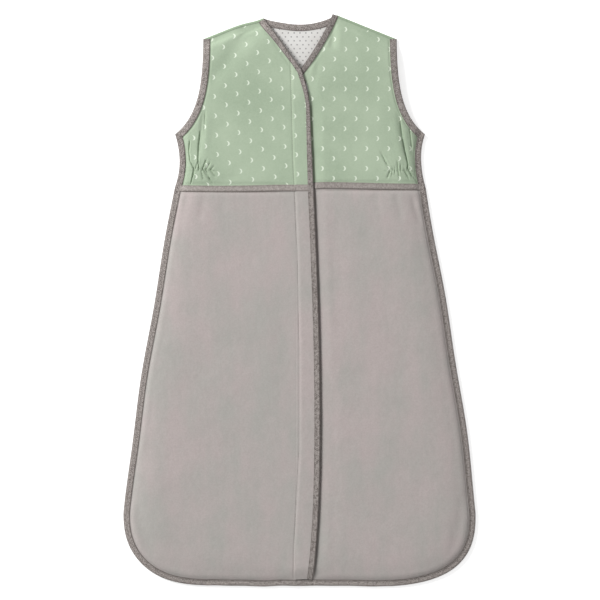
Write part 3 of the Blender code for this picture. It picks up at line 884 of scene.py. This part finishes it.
leftRun = bowed(evenly(np.array([leftV[0], hingeAtV]), 2 * mm), 1.0 * mm)
leftRun = np.vstack([leftRun, evenly(np.array([hingeAtV, apex - (1.5 * mm, -2.2 * mm)]), 1 * mm)[1:]])
leftWidth = np.interp(leftRun[:, 1], [hingeAtV[1], topY], [bindWidth["neckFoot"], bindWidth["neckTop"]])
addBinding("neckLeftFold", leftRun, leftWidth, frontTop, frontBottom, "neck_binding_left")
rightRun = evenly(rightV, 2 * mm)
rightWidth = np.interp(rightRun[:, 1] - rightV[0, 1], [2 * mm, 24 * mm],
                       [bindWidth["rightNeckFoot"], bindWidth["rightNeck"]])
addBinding("neckRightFold", rightRun, rightWidth, frontTop, frontBottom, "neck_binding_right")
print("scene: bindings made", flush=True)

tape = {"width": 10.3 * mm, "thick": 1.4 * mm, "halfWaist": cut["waistHalf"] - 8 * mm, "wave": 1.3 * mm,
        "backThick": 0.7 * mm, "backLift": 0.25 * mm, "flapThick": 0.9 * mm, "flapShift": -0.9 * mm}
elastic = {"from": 0.132, "to": 0.186, "aboveWaist": 27 * mm, "width": 7 * mm, "deep": 3.0 * mm,
           "thick": 1.0 * mm}


def waistLine(fromX, toX):
    # straight, with a shallow sine that fades out near the zip
    x = np.linspace(fromX, toX, 90)
    return np.column_stack([x, waistY + tape["wave"] * np.sin(x * 21 + 1.0) * smooth(np.abs(x) / 0.05)])


leftShift, rightShift = dips["tapeShift"]
leftWaist = waistLine(-tape["halfWaist"], hingeX) + (0, leftShift)
rightWaist = waistLine(rightFrontX, tape["halfWaist"]) + (0, rightShift)
addTape("leftTape", leftWaist, tape["width"], frontTop, tape["thick"], "left_front_waist_tape")
addTape("rightTape", rightWaist, tape["width"], frontTop, tape["thick"], "right_front_waist_tape")
backTapeX = np.linspace(-tape["halfWaist"], tape["halfWaist"], 120)
backWaist = np.column_stack([backTapeX, np.full(120, waistY)])
addTape("backTape", backWaist, tape["width"], level(tape["backLift"]), tape["backThick"], "back_waist_tape")
for sign, side in ((-1, "left"), (1, "right")):
    elasticX = sign * np.linspace(elastic["from"], elastic["to"], 60)
    band = np.column_stack([elasticX, np.full(60, waistY + elastic["aboveWaist"])])
    addTape(f"{side}Elastic", band, elastic["width"], under(frontTop, elastic["deep"]), elastic["thick"],
            f"{side}_elastic", "elastic")

# the flap binding's cut edge gets a fifth of the painted shade
flap = {"inset": 3.5 * mm, "foot": 1 * mm, "facing": (0.95 * mm, 1.6 * mm), "under": 1.65 * mm,
        "bindThick": 0.5 * mm, "bindFold": 1.7 * mm, "bindLift": (0.95 * mm, 0.4 * mm), "darkCut": 0.2,
        "narrowFrom": 0.10, "narrowTo": 0.14, "blend": 75 * mm}


def flapGrid(lowY, highY, rows, wide=26):
    # rows straight across from the fold to just inside the bound edge
    y = np.linspace(lowY, highY, rows)[:, None]
    share = np.linspace(0, 1, wide)[None]
    return hingeX + share * (freeEdgeX(y) - flap["inset"] - hingeX), np.broadcast_to(y, (rows, wide)).copy()


flapFoot, flapHead = flapFootY + flap["foot"], apex[1] - flap["foot"]
flapSkirt, flapYoke = flapGrid(flapFoot, waistY, 190), flapGrid(waistY, flapHead, 70)
flapWhole, flapUnder = flapGrid(flapFoot, flapHead, 240), under(flapTop, loft["cloth"])
addLayer("flapSkirtCloth", flapSkirt, flapTop, flapUnder, "flap_skirt", "skirt_velour", "blend")
addLayer("flapYokeCloth", flapYoke, flapTop, flapUnder, "flap_yoke", "yoke_cotton", "zip_flap")
addLayer("flapLining", flapWhole, *(under(flapTop, depth) for depth in flap["facing"]), "flap_facing",
         "lining_cotton", "blend")
flapRun = evenly(np.vstack([[hingeAtV - (2.0 * mm, -2.9 * mm)], freeEdge]), 2.5 * mm)
flapLift = np.interp(lengths(flapRun), [0, 16 * mm], flap["bindLift"])
flapWidth = np.interp(-flapRun[:, 1], [flap["narrowFrom"] - topY, flap["narrowTo"] - topY, -waistY], [
    bindWidth["neckFoot"], bindWidth["flapHigh"], bindWidth["flapLow"]])
addBinding("flapFold", flapRun, flapWidth, flapTop, under(flapTop, flap["under"]), "flap_binding",
           body="blend", thick=flap["bindThick"], lift=flapLift, fold=flap["bindFold"],
           darkCut=flap["darkCut"])
tapeX = np.linspace(hingeX + 0.3 * mm, float(freeEdgeX(waistY)) - 7.5 * mm, 16)
flapWaist = np.column_stack([tapeX, np.full_like(tapeX, waistY + tape["flapShift"])])
addTape("flapTape", flapWaist, tape["width"], flapTop, tape["flapThick"], "flap_waist_tape", body="zip_flap")
print("scene: flap made", flush=True)

zipper = {"tooth": 1.5 * mm, "reach": 2.3 * mm, "fat": 0.72 * mm, "stagger": 0.4 * mm, "lean": (0.97, 0.24),
          "tapeThick": 0.5 * mm}
for side, sign in (("left", -1), ("right", 1)):
    low, high = boxOf(f"zip_coil_{side}")
    toothY = np.arange(low[1] + 1 * mm, high[1] - 0.5 * mm, zipper["tooth"])
    toothY = toothY + (zipper["stagger"] if sign > 0 else 0)
    middle = (low + high) / 2
    spots = np.column_stack([np.full_like(toothY, middle[0]), toothY, np.full_like(toothY, middle[2])])
    lean = np.tile(np.array([[sign * zipper["lean"][0], zipper["lean"][1]]]), (len(toothY), 1))
    put(f"{side}Coil", beads(f"{side}Coil", spots, lean, zipper["reach"], zipper["fat"]), f"zip_coil_{side}",
        "zip_coil")
    low, high = boxOf(f"zip_tape_{side}")
    line = np.column_stack([np.full(160, (low[0] + high[0]) / 2), np.linspace(low[1], high[1], 160)])
    addTape(f"{side}ZipTape", line, high[0] - low[0], level(low[2]), zipper["tapeThick"], f"zip_tape_{side}",
            "zip_tape")
print("scene: zip made", flush=True)

thread = {"pitch": 3.0 * mm, "length": 2.1 * mm, "fat": 0.24 * mm, "proud": 0.1 * mm}
threadAt = {"inBinding": 1.5 * mm, "inNeck": 1.4 * mm, "inFlap": 1.3 * mm, "onTape": 3.9 * mm,
            "onFold": 0.02 * mm, "foldTop": 0.362, "onFlap": 0.42 * mm, "flapFrom": 14 * mm}


def threadRow(name, line, height, body="bag", finish="sewing", **more):
    # a row of stitches that stands for no node: its look, with what differs for this row
    look = thread | more
    pieces[name] = stitchRow(name, line, height, look["pitch"], look["length"], look["fat"], look["proud"])
    joins[name] = (None, finish, body)


foldY = np.linspace(flapFoot + 2 * mm, threadAt["foldTop"], 300)
foldLine = np.column_stack([stitchLineX(foldY), foldY])
onFlap = foldLine[:, 0] > hingeX  # where the row wanders over the fold, it rides with the flap
for number, part in enumerate(np.split(foldLine, np.flatnonzero(np.diff(onFlap)) + 1)):
    body = "blend" if part[len(part) // 2, 0] > hingeX else "bag"
    threadRow(f"foldStitches{number}", part, foldHeight, body, "fold", proud=threadAt["onFold"])
onFront = over(frontTop, bindFold["lift"])
for sign, side in ((-1, "left"), (1, "right")):
    sideRun, arm = sided(sideRim, sign), sided(armRun, sign)
    threadRow(f"{side}SideStitches", inset(sideRun, bindWidth["side"] - threadAt["inBinding"]), onFront)
    threadRow(f"{side}ArmStitches", inset(arm, bindWidth["arm"] - threadAt["inBinding"]), onFront)
    gatherX = sign * np.linspace(0.131, 0.187, 40)
    gatherRow = np.column_stack([gatherX, np.full(40, 0.2043)])
    threadRow(f"{side}GatherStitches", gatherRow, frontTop, "bag", "green", pitch=2.4 * mm, length=1.6 * mm)
threadRow("hemStitches", inset(hemRun, bindWidth["hem"] - threadAt["inBinding"]), onFront)
neckRun = resample(backNeck, np.linspace(0.08, 0.92, 50))
neckStitches = inset(neckRun, bindWidth["backNeck"] - threadAt["inNeck"])
threadRow("backNeckStitches", neckStitches, over(backTop, 0.6 * mm))
leftStitches = waistLine(-tape["halfWaist"], hingeX - 1 * mm) + (0, leftShift)
rightStitches = waistLine(rightFrontX + 12 * mm, tape["halfWaist"]) + (0, rightShift)
for side, line in (("left", leftStitches), ("right", rightStitches)):
    for row, offset in (("High", threadAt["onTape"]), ("Low", -threadAt["onTape"])):
        threadRow(f"{side}Tape{row}Stitches", line + (0, offset), over(frontTop, tape["thick"]))
flapInner = flapRun + inwardOf(flapRun) * (flapWidth - threadAt["inFlap"])[:, None]
flapInner = flapInner[lengths(flapRun) > threadAt["flapFrom"]]
threadRow("flapStitches", flapInner, over(flapTop, threadAt["onFlap"]), "blend")
print("scene: threads made", flush=True)


class Signal:
    # a socket that takes part in sums: each operator adds one Math node
    def __init__(self, maker, socket):
        self.maker, self.socket = maker, socket

    def math(self, operation, other=None, swap=False, **more):
        # one Math node on this socket and the other value, or the other way round
        pair = (other, self) if swap else (self, other)
        values = {i: value for i, value in enumerate(pair) if value is not None}
        return self.maker.node("ShaderNodeMath", {"operation": operation, **more}, values)

    def __add__(self, other):
        return self.math("ADD", other)

    def __sub__(self, other):
        return self.math("SUBTRACT", other)

    def __rsub__(self, other):
        return self.math("SUBTRACT", other, True)

    def __mul__(self, other):
        return self.math("MULTIPLY", other)

    def __truediv__(self, other):
        return self.math("DIVIDE", other)

    __radd__, __rmul__ = __add__, __mul__

    def less(self, other):
        # the lower of the two
        return self.math("MINIMUM", other)

    def more(self, other):
        # the higher of the two
        return self.math("MAXIMUM", other)

    def clipped(self):
        # held between 0 and 1
        return self.math("ADD", 0.0, use_clamp=True)

    def wrapped(self, size):
        # into minus half to plus half of the size
        return self.maker.node("ShaderNodeMath", {"operation": "WRAP"}, {0: self, 1: size / 2, 2: -size / 2})

    def rounded(self):
        return self.math("ROUND")

    def sine(self):
        return self.math("SINE")


class Finish:
    # a material with its shader, and one method for every kind of node
    def __init__(self, name, roughness, **fixed):
        self.material = bpy.data.materials.new(name)
        self.material.use_nodes = True
        self.tree = self.material.node_tree
        self.shader = self.tree.nodes["Principled BSDF"]
        self.shader.inputs["Roughness"].default_value = roughness
        for key, value in fixed.items():
            self.shader.inputs[key.replace("_", " ")].default_value = value

    def node(self, kind, settings, sockets, output=0):
        # settings first, then a value or a link for each socket named
        made = self.tree.nodes.new(kind)
        for key, value in settings.items():
            setattr(made, key, value)
        for key, value in sockets.items():
            self.feed(made.inputs[key], value)
        return Signal(self, made.outputs[output])

    def feed(self, socket, value):
        # a link from a signal, or else a fixed value
        if isinstance(value, Signal):
            self.tree.links.new(value.socket, socket)
        else:
            socket.default_value = value

    def place(self, kind="Object"):
        # where the point lies on the object, in metres
        return self.node("ShaderNodeTexCoord", {}, {}, kind)

    def split(self, vector):
        # its x, y and z
        made = self.tree.nodes.new("ShaderNodeSeparateXYZ")
        self.feed(made.inputs[0], vector)
        return [Signal(self, out) for out in made.outputs]

    def join(self, x, y, z=0.0):
        # three values made a vector
        return self.node("ShaderNodeCombineXYZ", {}, {0: x, 1: y, 2: z})

    def noise(self, vector, scale, detail=2.0, rough=0.5):
        # scale is lumps to the metre
        return self.node("ShaderNodeTexNoise", {}, {
            "Vector": vector, "Scale": scale, "Detail": detail, "Roughness": rough}, "Fac")

    def mix(self, share, first, second, how="MIX"):
        # from the first colour at 0 to the second at 1
        made = self.tree.nodes.new("ShaderNodeMix")
        made.data_type, made.blend_type = "RGBA", how
        self.feed(made.inputs["Factor"], share)
        self.feed(made.inputs[6], first)
        self.feed(made.inputs[7], second)
        return Signal(self, made.outputs[2])

    def spread(self, value, low, high, toLow=0.0, toHigh=1.0):
        # low to high, mapped to the two ends in a straight line and held there
        return self.node("ShaderNodeMapRange", {"clamp": True}, {
            0: value, 1: low, 2: high, 3: toLow, 4: toHigh})

    def colour(self, value):
        self.feed(self.shader.inputs["Base Color"], value)

    def rough(self, value):
        self.feed(self.shader.inputs["Roughness"], value)

    def bump(self, height, distance, strength=1.0):
        # relief: a height of 1 stands the distance above a height of 0
        made = self.node("ShaderNodeBump", {}, {
            "Height": height, "Distance": distance, "Strength": strength}, "Normal")
        self.feed(self.shader.inputs["Normal"], made)


def tint(red, green, blue):
    # display values from 0 to 255, as a linear colour
    values = [v / 255 for v in (red, green, blue)]
    return (*(v / 12.92 if v <= 0.04045 else ((v + 0.055) / 1.055) ** 2.4 for v in values), 1.0)


def knitHeight(finish, vector, pitch):
    # small plain stitches: a product of two sines
    x, y, _ = finish.split(vector)
    return (x * (2 * math.pi / pitch)).sine() * (y * (2 * math.pi / pitch)).sine()


printLook = {"green": (183, 200, 174), "shade": (169, 187, 161), "mark": (238, 248, 230), "outer": 3.9 * mm,
             "inner": 4.0 * mm, "shift": 2.75 * mm}


def printedCotton(name, startX, startY, across, down, rise, lean):
    # crescents on a half-drop lattice: outside one circle and inside another beside it
    finish = Finish(name, 0.86, Sheen_Weight=0.12, Sheen_Roughness=0.5, Specular_IOR_Level=0.25)
    place = finish.place()
    x, y, _ = finish.split(place)
    wobble = finish.noise(place, 45.0) - 0.5
    x = x + y * lean - (startX + startY * lean) + wobble * (1.6 * mm)
    column = (x / across).rounded()
    dx = x - column * across
    dy = (y - startY - column * (down / 2 + rise)).wrapped(down)
    outer = finish.node("ShaderNodeVectorMath", {"operation": "LENGTH"}, {
        0: finish.join(dx + 0.9 * mm, dy)}, "Value")
    inner = finish.node("ShaderNodeVectorMath", {"operation": "LENGTH"}, {
        0: finish.join(dx + (0.9 * mm + printLook["shift"]), dy)}, "Value")
    depth = (printLook["outer"] - outer).less(inner - printLook["inner"])
    ragged = finish.noise(place, 900.0) - 0.5
    mark = finish.spread(depth + ragged * (0.4 * mm), -0.1 * mm, 0.3 * mm)
    ground = finish.mix(finish.spread(finish.noise(place, 14.0, 3.0), 0.35, 0.65), tint(*printLook["shade"]),
                        tint(*printLook["green"]))
    heather = finish.spread(finish.noise(place, 400.0, 3.0, 0.6), 0.34, 0.66)
    ground = finish.mix(heather * 0.2, ground, tint(206, 219, 198))
    finish.colour(finish.mix(mark * 0.9, ground, tint(*printLook["mark"])))
    finish.rough(0.88 - mark * 0.1)
    wrinkles = finish.noise(place, 240.0, 3.0) * 0.9
    finish.bump(knitHeight(finish, place, 1.1 * mm) * 0.35 + wrinkles, 0.42 * mm, 0.8)
    return finish.material


velourLook = {"warm": (189, 178, 176), "cool": (177, 175, 170), "pile": (206, 198, 195),
              "low": (160, 152, 148)}


def velour():
    # long soft bands down the cloth under cloudier ones, then the nap
    finish = Finish("skirtVelour", 0.95, Sheen_Weight=0.25, Sheen_Roughness=0.4, Specular_IOR_Level=0.1)
    place = finish.place()
    x, y, _ = finish.split(place)
    bands = finish.noise(finish.join(x * 24.0, y * 5.0), 1.0, 3.0, 0.55)
    clouds = finish.noise(place, 13.0, 4.0, 0.6)
    broad = finish.spread(bands * 0.5 + clouds * 0.5, 0.40, 0.60)
    ground = finish.mix(broad, tint(*velourLook["cool"]), tint(*velourLook["warm"]))
    brushed = finish.spread(finish.noise(finish.join(x * 150.0, y * 60.0), 1.0, 3.0, 0.6), 0.38, 0.66)
    ground = finish.mix(brushed * 0.14, ground, tint(*velourLook["pile"]))
    nap = finish.spread(finish.noise(place, 430.0, 3.0, 0.6), 0.34, 0.66)
    ground = finish.mix((1 - nap) * 0.3, ground, tint(*velourLook["low"]))
    finish.colour(ground)
    finish.bump(finish.noise(place, 620.0, 2.0) * 0.5 + finish.noise(place, 90.0, 3.0), 0.5 * mm, 0.7)
    return finish.material


# dark is also the colour of the painted shade at the binding's edges
bindLook = {"base": (143, 134, 130), "dark": (84, 76, 72), "light": (196, 188, 183), "loop": 3.4 * mm,
            "row": 2.3 * mm}


def ribBinding(name, gain=1.0):
    # leaning loops of yarn across the tape, read from its run; painted shade where it turns over an edge and
    # along its cut edge
    finish = Finish(name, 0.9, Sheen_Weight=0.2, Sheen_Roughness=0.5, Specular_IOR_Level=0.2)
    along, turn, _ = finish.split(finish.place("UV"))
    row = (turn / bindLook["row"]).rounded()
    loops = ((along + row * (bindLook["loop"] / 2)) * (2 * math.pi / bindLook["loop"])).sine()
    ribs = (turn * (2 * math.pi / bindLook["row"]) + 1.57).sine()
    knit = finish.spread(loops * 0.6 + ribs * 0.5, -0.6, 0.8)
    blotch = finish.spread(finish.noise(finish.place(), 420.0, 2.0, 0.6), 0.36, 0.62)
    # gain scales all three colours, for darker or lighter copies of the one binding
    base, dark, light = (tint(*(v * gain for v in bindLook[key])) for key in ("base", "dark", "light"))
    ground = finish.mix((1 - knit) * 0.45 + (1 - blotch) * 0.55, base, dark)
    ground = finish.mix(knit * 0.3 + blotch * 0.5, ground, light)
    # painted shade along the fold and the cut edge, from the edge attribute
    edge = finish.node("ShaderNodeAttribute", {"attribute_name": "edge"}, {}, "Fac")
    finish.colour(finish.mix(edge.clipped() * 0.72, ground, tint(*bindLook["dark"])))
    finish.bump(knit, 0.45 * mm, 0.9)
    return finish.material


def wovenTape(name, base, dark, pitch):
    # a plain weave: the product of a sine along and a closer one across, with painted shade along both edges
    finish = Finish(name, 0.85, Sheen_Weight=0.15, Specular_IOR_Level=0.25)
    along, turn, _ = finish.split(finish.place("UV"))
    weft = (along * (2 * math.pi / pitch)).sine()
    warp = (turn * (2 * math.pi / (pitch * 0.8))).sine()
    weave = finish.spread(weft * warp, -0.8, 0.8)
    blotch = finish.spread(finish.noise(finish.place(), 420.0, 2.0, 0.6), 0.36, 0.62)
    ground = finish.mix((1 - weave) * 0.45 + blotch * 0.4, tint(*base), tint(*dark))
    # painted shade: darker along both edges of the tape, from the edge attribute
    edge = finish.node("ShaderNodeAttribute", {"attribute_name": "edge"}, {}, "Fac")
    finish.colour(finish.mix(edge.clipped() * 0.5, ground, tint(104, 96, 92)))
    finish.bump(weave, 0.2 * mm, 0.7)
    return finish.material


liningLook = {"dark": (230, 228, 224), "light": (240, 239, 236), "dot": (156, 154, 152), "across": 9.2 * mm,
              "down": 6.2 * mm, "outer": 1.45 * mm, "inner": 0.95 * mm}


def dottedLining():
    # dots at the least distance to a half-drop lattice
    look = liningLook
    finish = Finish("dottedLining", 0.9, Sheen_Weight=0.1, Specular_IOR_Level=0.2)
    place = finish.place()
    x, y, _ = finish.split(place)
    row = (y / look["down"]).rounded()
    offset = finish.join((x + row * (look["across"] / 2)).wrapped(look["across"]), y - row * look["down"])
    reach = finish.node("ShaderNodeVectorMath", {"operation": "LENGTH"}, {0: offset}, "Value")
    dot = finish.spread(reach, look["outer"], look["inner"])
    cloud = finish.spread(finish.noise(place, 30.0, 3.0), 0.3, 0.7)
    ground = finish.mix(cloud, tint(*look["dark"]), tint(*look["light"]))
    finish.colour(finish.mix(dot * 0.85, ground, tint(*look["dot"])))
    finish.bump(knitHeight(finish, place, 0.9 * mm), 0.15 * mm, 0.6)
    return finish.material


def plainCloth(name, base, dark, scale=300.0, depth=0.3 * mm):
    # two tones mixed by a noise, which is also its relief
    finish = Finish(name, 0.92, Sheen_Weight=0.15, Specular_IOR_Level=0.2)
    grain = finish.noise(finish.place(), scale, 3.0)
    finish.colour(finish.mix(finish.spread(grain, 0.3, 0.7), tint(*dark), tint(*base)))
    finish.bump(grain, depth, 0.7)
    return finish.material


def plated():
    # scuffs make the metal duller and darker
    finish = Finish("platedMetal", 0.24, Metallic=1.0)
    scuffs = finish.spread(finish.noise(finish.place(), 900.0, 4.0, 0.7), 0.35, 0.75)
    finish.colour(finish.mix(scuffs, tint(196, 196, 198), tint(168, 167, 166)))
    finish.rough(0.2 + scuffs * 0.22)
    finish.bump(scuffs, 0.03 * mm, 0.5)
    return finish.material


def coilPlastic():
    # two tones mixed by a noise
    finish = Finish("coilNylon", 0.42, Specular_IOR_Level=0.5)
    tone = finish.spread(finish.noise(finish.place(), 400.0, 2.0), 0.3, 0.7)
    finish.colour(finish.mix(tone, tint(150, 143, 138), tint(178, 171, 166)))
    return finish.material


leftPrint = printedCotton("leftPrint", -139.5 * mm, 412.0 * mm, 17.8 * mm, 30.4 * mm, 2.1 * mm, 0.050)
rightPrint = printedCotton("rightPrint", 54.0 * mm, 411.1 * mm, 17.3 * mm, 31.3 * mm, 0.0, -0.01)
finishes = {
    "yoke_cotton": leftPrint, "skirt_velour": velour(), "rib_binding": ribBinding("ribBinding"),
    "waist_tape": wovenTape("waistTape", (194, 186, 181), (106, 98, 93), 2.8 * mm),
    "lining_cotton": dottedLining(),
    "wadding": plainCloth("whiteWadding", (240, 240, 236), (222, 222, 218)),
    "elastic": plainCloth("knittedElastic", (236, 236, 231), (214, 214, 208), 500.0),
    "seam": plainCloth("seamCotton", (166, 184, 158), (142, 160, 135), 700.0, 0.2 * mm),
    # zip tape: its own taupe, darkened partly as painted shade so the gap at the top of the zip reads dark
    "zip_tape": wovenTape("zipTapeWeave", (134, 126, 121), (108, 100, 95), 0.9 * mm),
    "zip_coil": coilPlastic(), "zip_metal": plated(),
}
threadFinish = {
    "sewing": plainCloth("sewingThread", (150, 142, 137), (126, 118, 113), 1200.0, 0.1 * mm),
    "fold": plainCloth("foldThread", (128, 120, 114), (104, 97, 92), 1200.0, 0.1 * mm),
    "green": plainCloth("greenThread", (160, 178, 152), (138, 156, 131), 1200.0, 0.1 * mm),
}
# the right neck binding's copy at 0.86 is painted shade for its side turned away from the light; the hem's copy
# at 1.05 is lighter
special = {"rightFrontYoke": rightPrint, "hemFold": ribBinding("hemRib", 1.05),
           "neckRightFold": ribBinding("neckRib", 0.86)}
print("scene: finishes made", flush=True)


def settle(obj):
    # moves the points in plan only: the left neck corner sinks, and the sides and hem wander a little
    points = np.empty(len(obj.data.vertices) * 3, np.float32)
    obj.data.vertices.foreach_get("co", points)
    x, y, z = points.reshape(-1, 3).T.copy()
    away = smooth((np.abs(x - chainX) - 0.035) / 0.03)
    y -= 5.0 * mm * bell(x + 0.062, 24 * mm) * smooth((y - 0.395) / 0.045)
    y += 0.8 * mm * np.sin(x * 37 + 0.5) * smooth((-0.36 - y) / 0.08) * away
    outer = smooth((np.abs(x) - 0.15) / 0.04) * smooth((0.25 - y) / 0.05)
    x += np.sign(x) * 0.9 * mm * np.sin(y * 29 + 1.3 * np.sign(x)) * outer
    obj.data.vertices.foreach_set("co", np.stack([x, y, z], 1).astype(np.float32).ravel())
    obj.data.update()


for name, obj in pieces.items():
    settle(obj)
    node, slotName, body = joins[name]
    if node is None:
        obj.data.materials.append(threadFinish[slotName])
    else:
        obj.data.materials.append(special.get(name, finishes[slotName]))
        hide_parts(node)
    if body == "blend":
        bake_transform(obj)
    else:
        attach(obj, body)

for node, obj in frame["nodes"].items():
    if node.startswith(("zip_slider", "zip_pull", "zip_top", "zip_bottom")):
        obj.data.materials.clear()
        obj.data.materials.append(finishes["zip_metal"])
        weld = obj.modifiers.new("weld", "WELD")
        weld.merge_threshold = 0.01 * mm
        rounding = obj.modifiers.new("rounding", "BEVEL")
        rounding.width, rounding.segments, rounding.limit_method = 0.18 * mm, 2, "ANGLE"
        rounding.harden_normals = False


def flatArea(grid):
    # the sum of the grid's cells: half the cross product of each cell's diagonals
    x, y = grid
    ax, ay = x[1:, 1:] - x[:-1, :-1], y[1:, 1:] - y[:-1, :-1]
    bx, by = x[1:, :-1] - x[:-1, 1:], y[1:, :-1] - y[:-1, 1:]
    return float(np.abs(ax * by - ay * bx).sum() / 2)


clothes = {
    "backYokeCloth": (backYoke, (0.41, 0.29), "laid", "floor"),
    "backSkirtCloth": (backSkirt, (0.58, 0.65), "laid", "floor"),
    "backLiningCloth": (wholeBack, (0.58, 0.92), "laid", "backFill"),
    "leftFrontYoke": (leftYoke, (0.22, 0.29), "gathered", "leftFrontFill"),
    "rightFrontYoke": (rightYoke, (0.22, 0.29), "gathered", "rightFrontFill"),
    "leftFrontSkirt": (leftSkirt, (0.29, 0.65), "laid", "leftFrontFill"),
    "rightFrontSkirt": (rightSkirt, (0.28, 0.65), "laid", "rightFrontFill"),
    "leftFrontLining": (joinGrids(leftSkirt, leftYoke), (0.29, 0.92), "laid", "backLiningCloth"),
    "rightFrontLining": (joinGrids(rightSkirt, rightYoke), (0.28, 0.92), "laid", "backLiningCloth"),
    "flapYokeCloth": (flapGrid(waistY, flapHead, 70), (0.035, 0.19), "folded", "flapLining"),
    "flapSkirtCloth": (flapGrid(flapFoot, waistY, 190), (0.042, 0.64), "folded", "flapLining"),
    "flapLining": (flapGrid(flapFoot, flapHead, 240), (0.042, 0.81), "folded", "rightFrontSkirt"),
}
for name, (grid, flat, held, restsOn) in clothes.items():
    area = flatArea(grid) * 1.03
    width, length = flat
    flat = (max(width, area / length), length)


def floorSheet():
    # a pale sheet far wider than the view, just under the bag
    span, y = np.meshgrid(np.linspace(-4, 4, 9), np.linspace(-4, 4, 9))
    points = np.stack([span, y, np.full_like(span, -0.05 * mm)], 2).reshape(-1, 3)
    obj = buildMesh("floor", points, gridFaces(9, 9))
    finish = Finish("paleFloor", 0.95, Specular_IOR_Level=0.0, Emission_Color=(1, 1, 1, 1),
                    Emission_Strength=0.5)
    shade = finish.noise(finish.place(), 3.0)
    finish.colour(finish.mix(shade, (0.97, 0.97, 0.97, 1), (0.99, 0.99, 0.99, 1)))
    obj.data.materials.append(finish.material)


floorSheet()
scene = bpy.context.scene
scene.view_settings.view_transform = "Standard"
world = bpy.data.worlds.new("studio")
world.use_nodes = True
world.node_tree.nodes["Background"].inputs[0].default_value = (1.0, 1.0, 1.0, 1)
world.node_tree.nodes["Background"].inputs[1].default_value = 0.485
scene.world = world
studio = {"keyPower": 235.0, "keySize": 2.0, "keyPlace": (-3.6, 2.6, 3.0)}


def lamp(name, place, size, power):
    # a disc that faces the origin
    data = bpy.data.lights.new(name, "AREA")
    data.energy, data.shape, data.size = power, "DISK", size
    obj = bpy.data.objects.new(name, data)
    obj.location = place
    x, y, z = place
    obj.rotation_euler = (math.atan2(math.hypot(x, y), z), 0.0, math.atan2(y, x) + math.pi / 2)
    scene.collection.objects.link(obj)


lamp("key", studio["keyPlace"], studio["keySize"], studio["keyPower"])
lens = {"away": 5.0, "wide": 0.94404}
camera = bpy.data.cameras.new("camera")
camera.sensor_width = 36.0
camera.lens = 36.0 * (lens["away"] - 0.012) / lens["wide"]
camera.clip_end = 30.0
eye = bpy.data.objects.new("camera", camera)
eye.location = (0.0, 0.8 * mm, lens["away"])
scene.collection.objects.link(eye)
scene.camera = eye
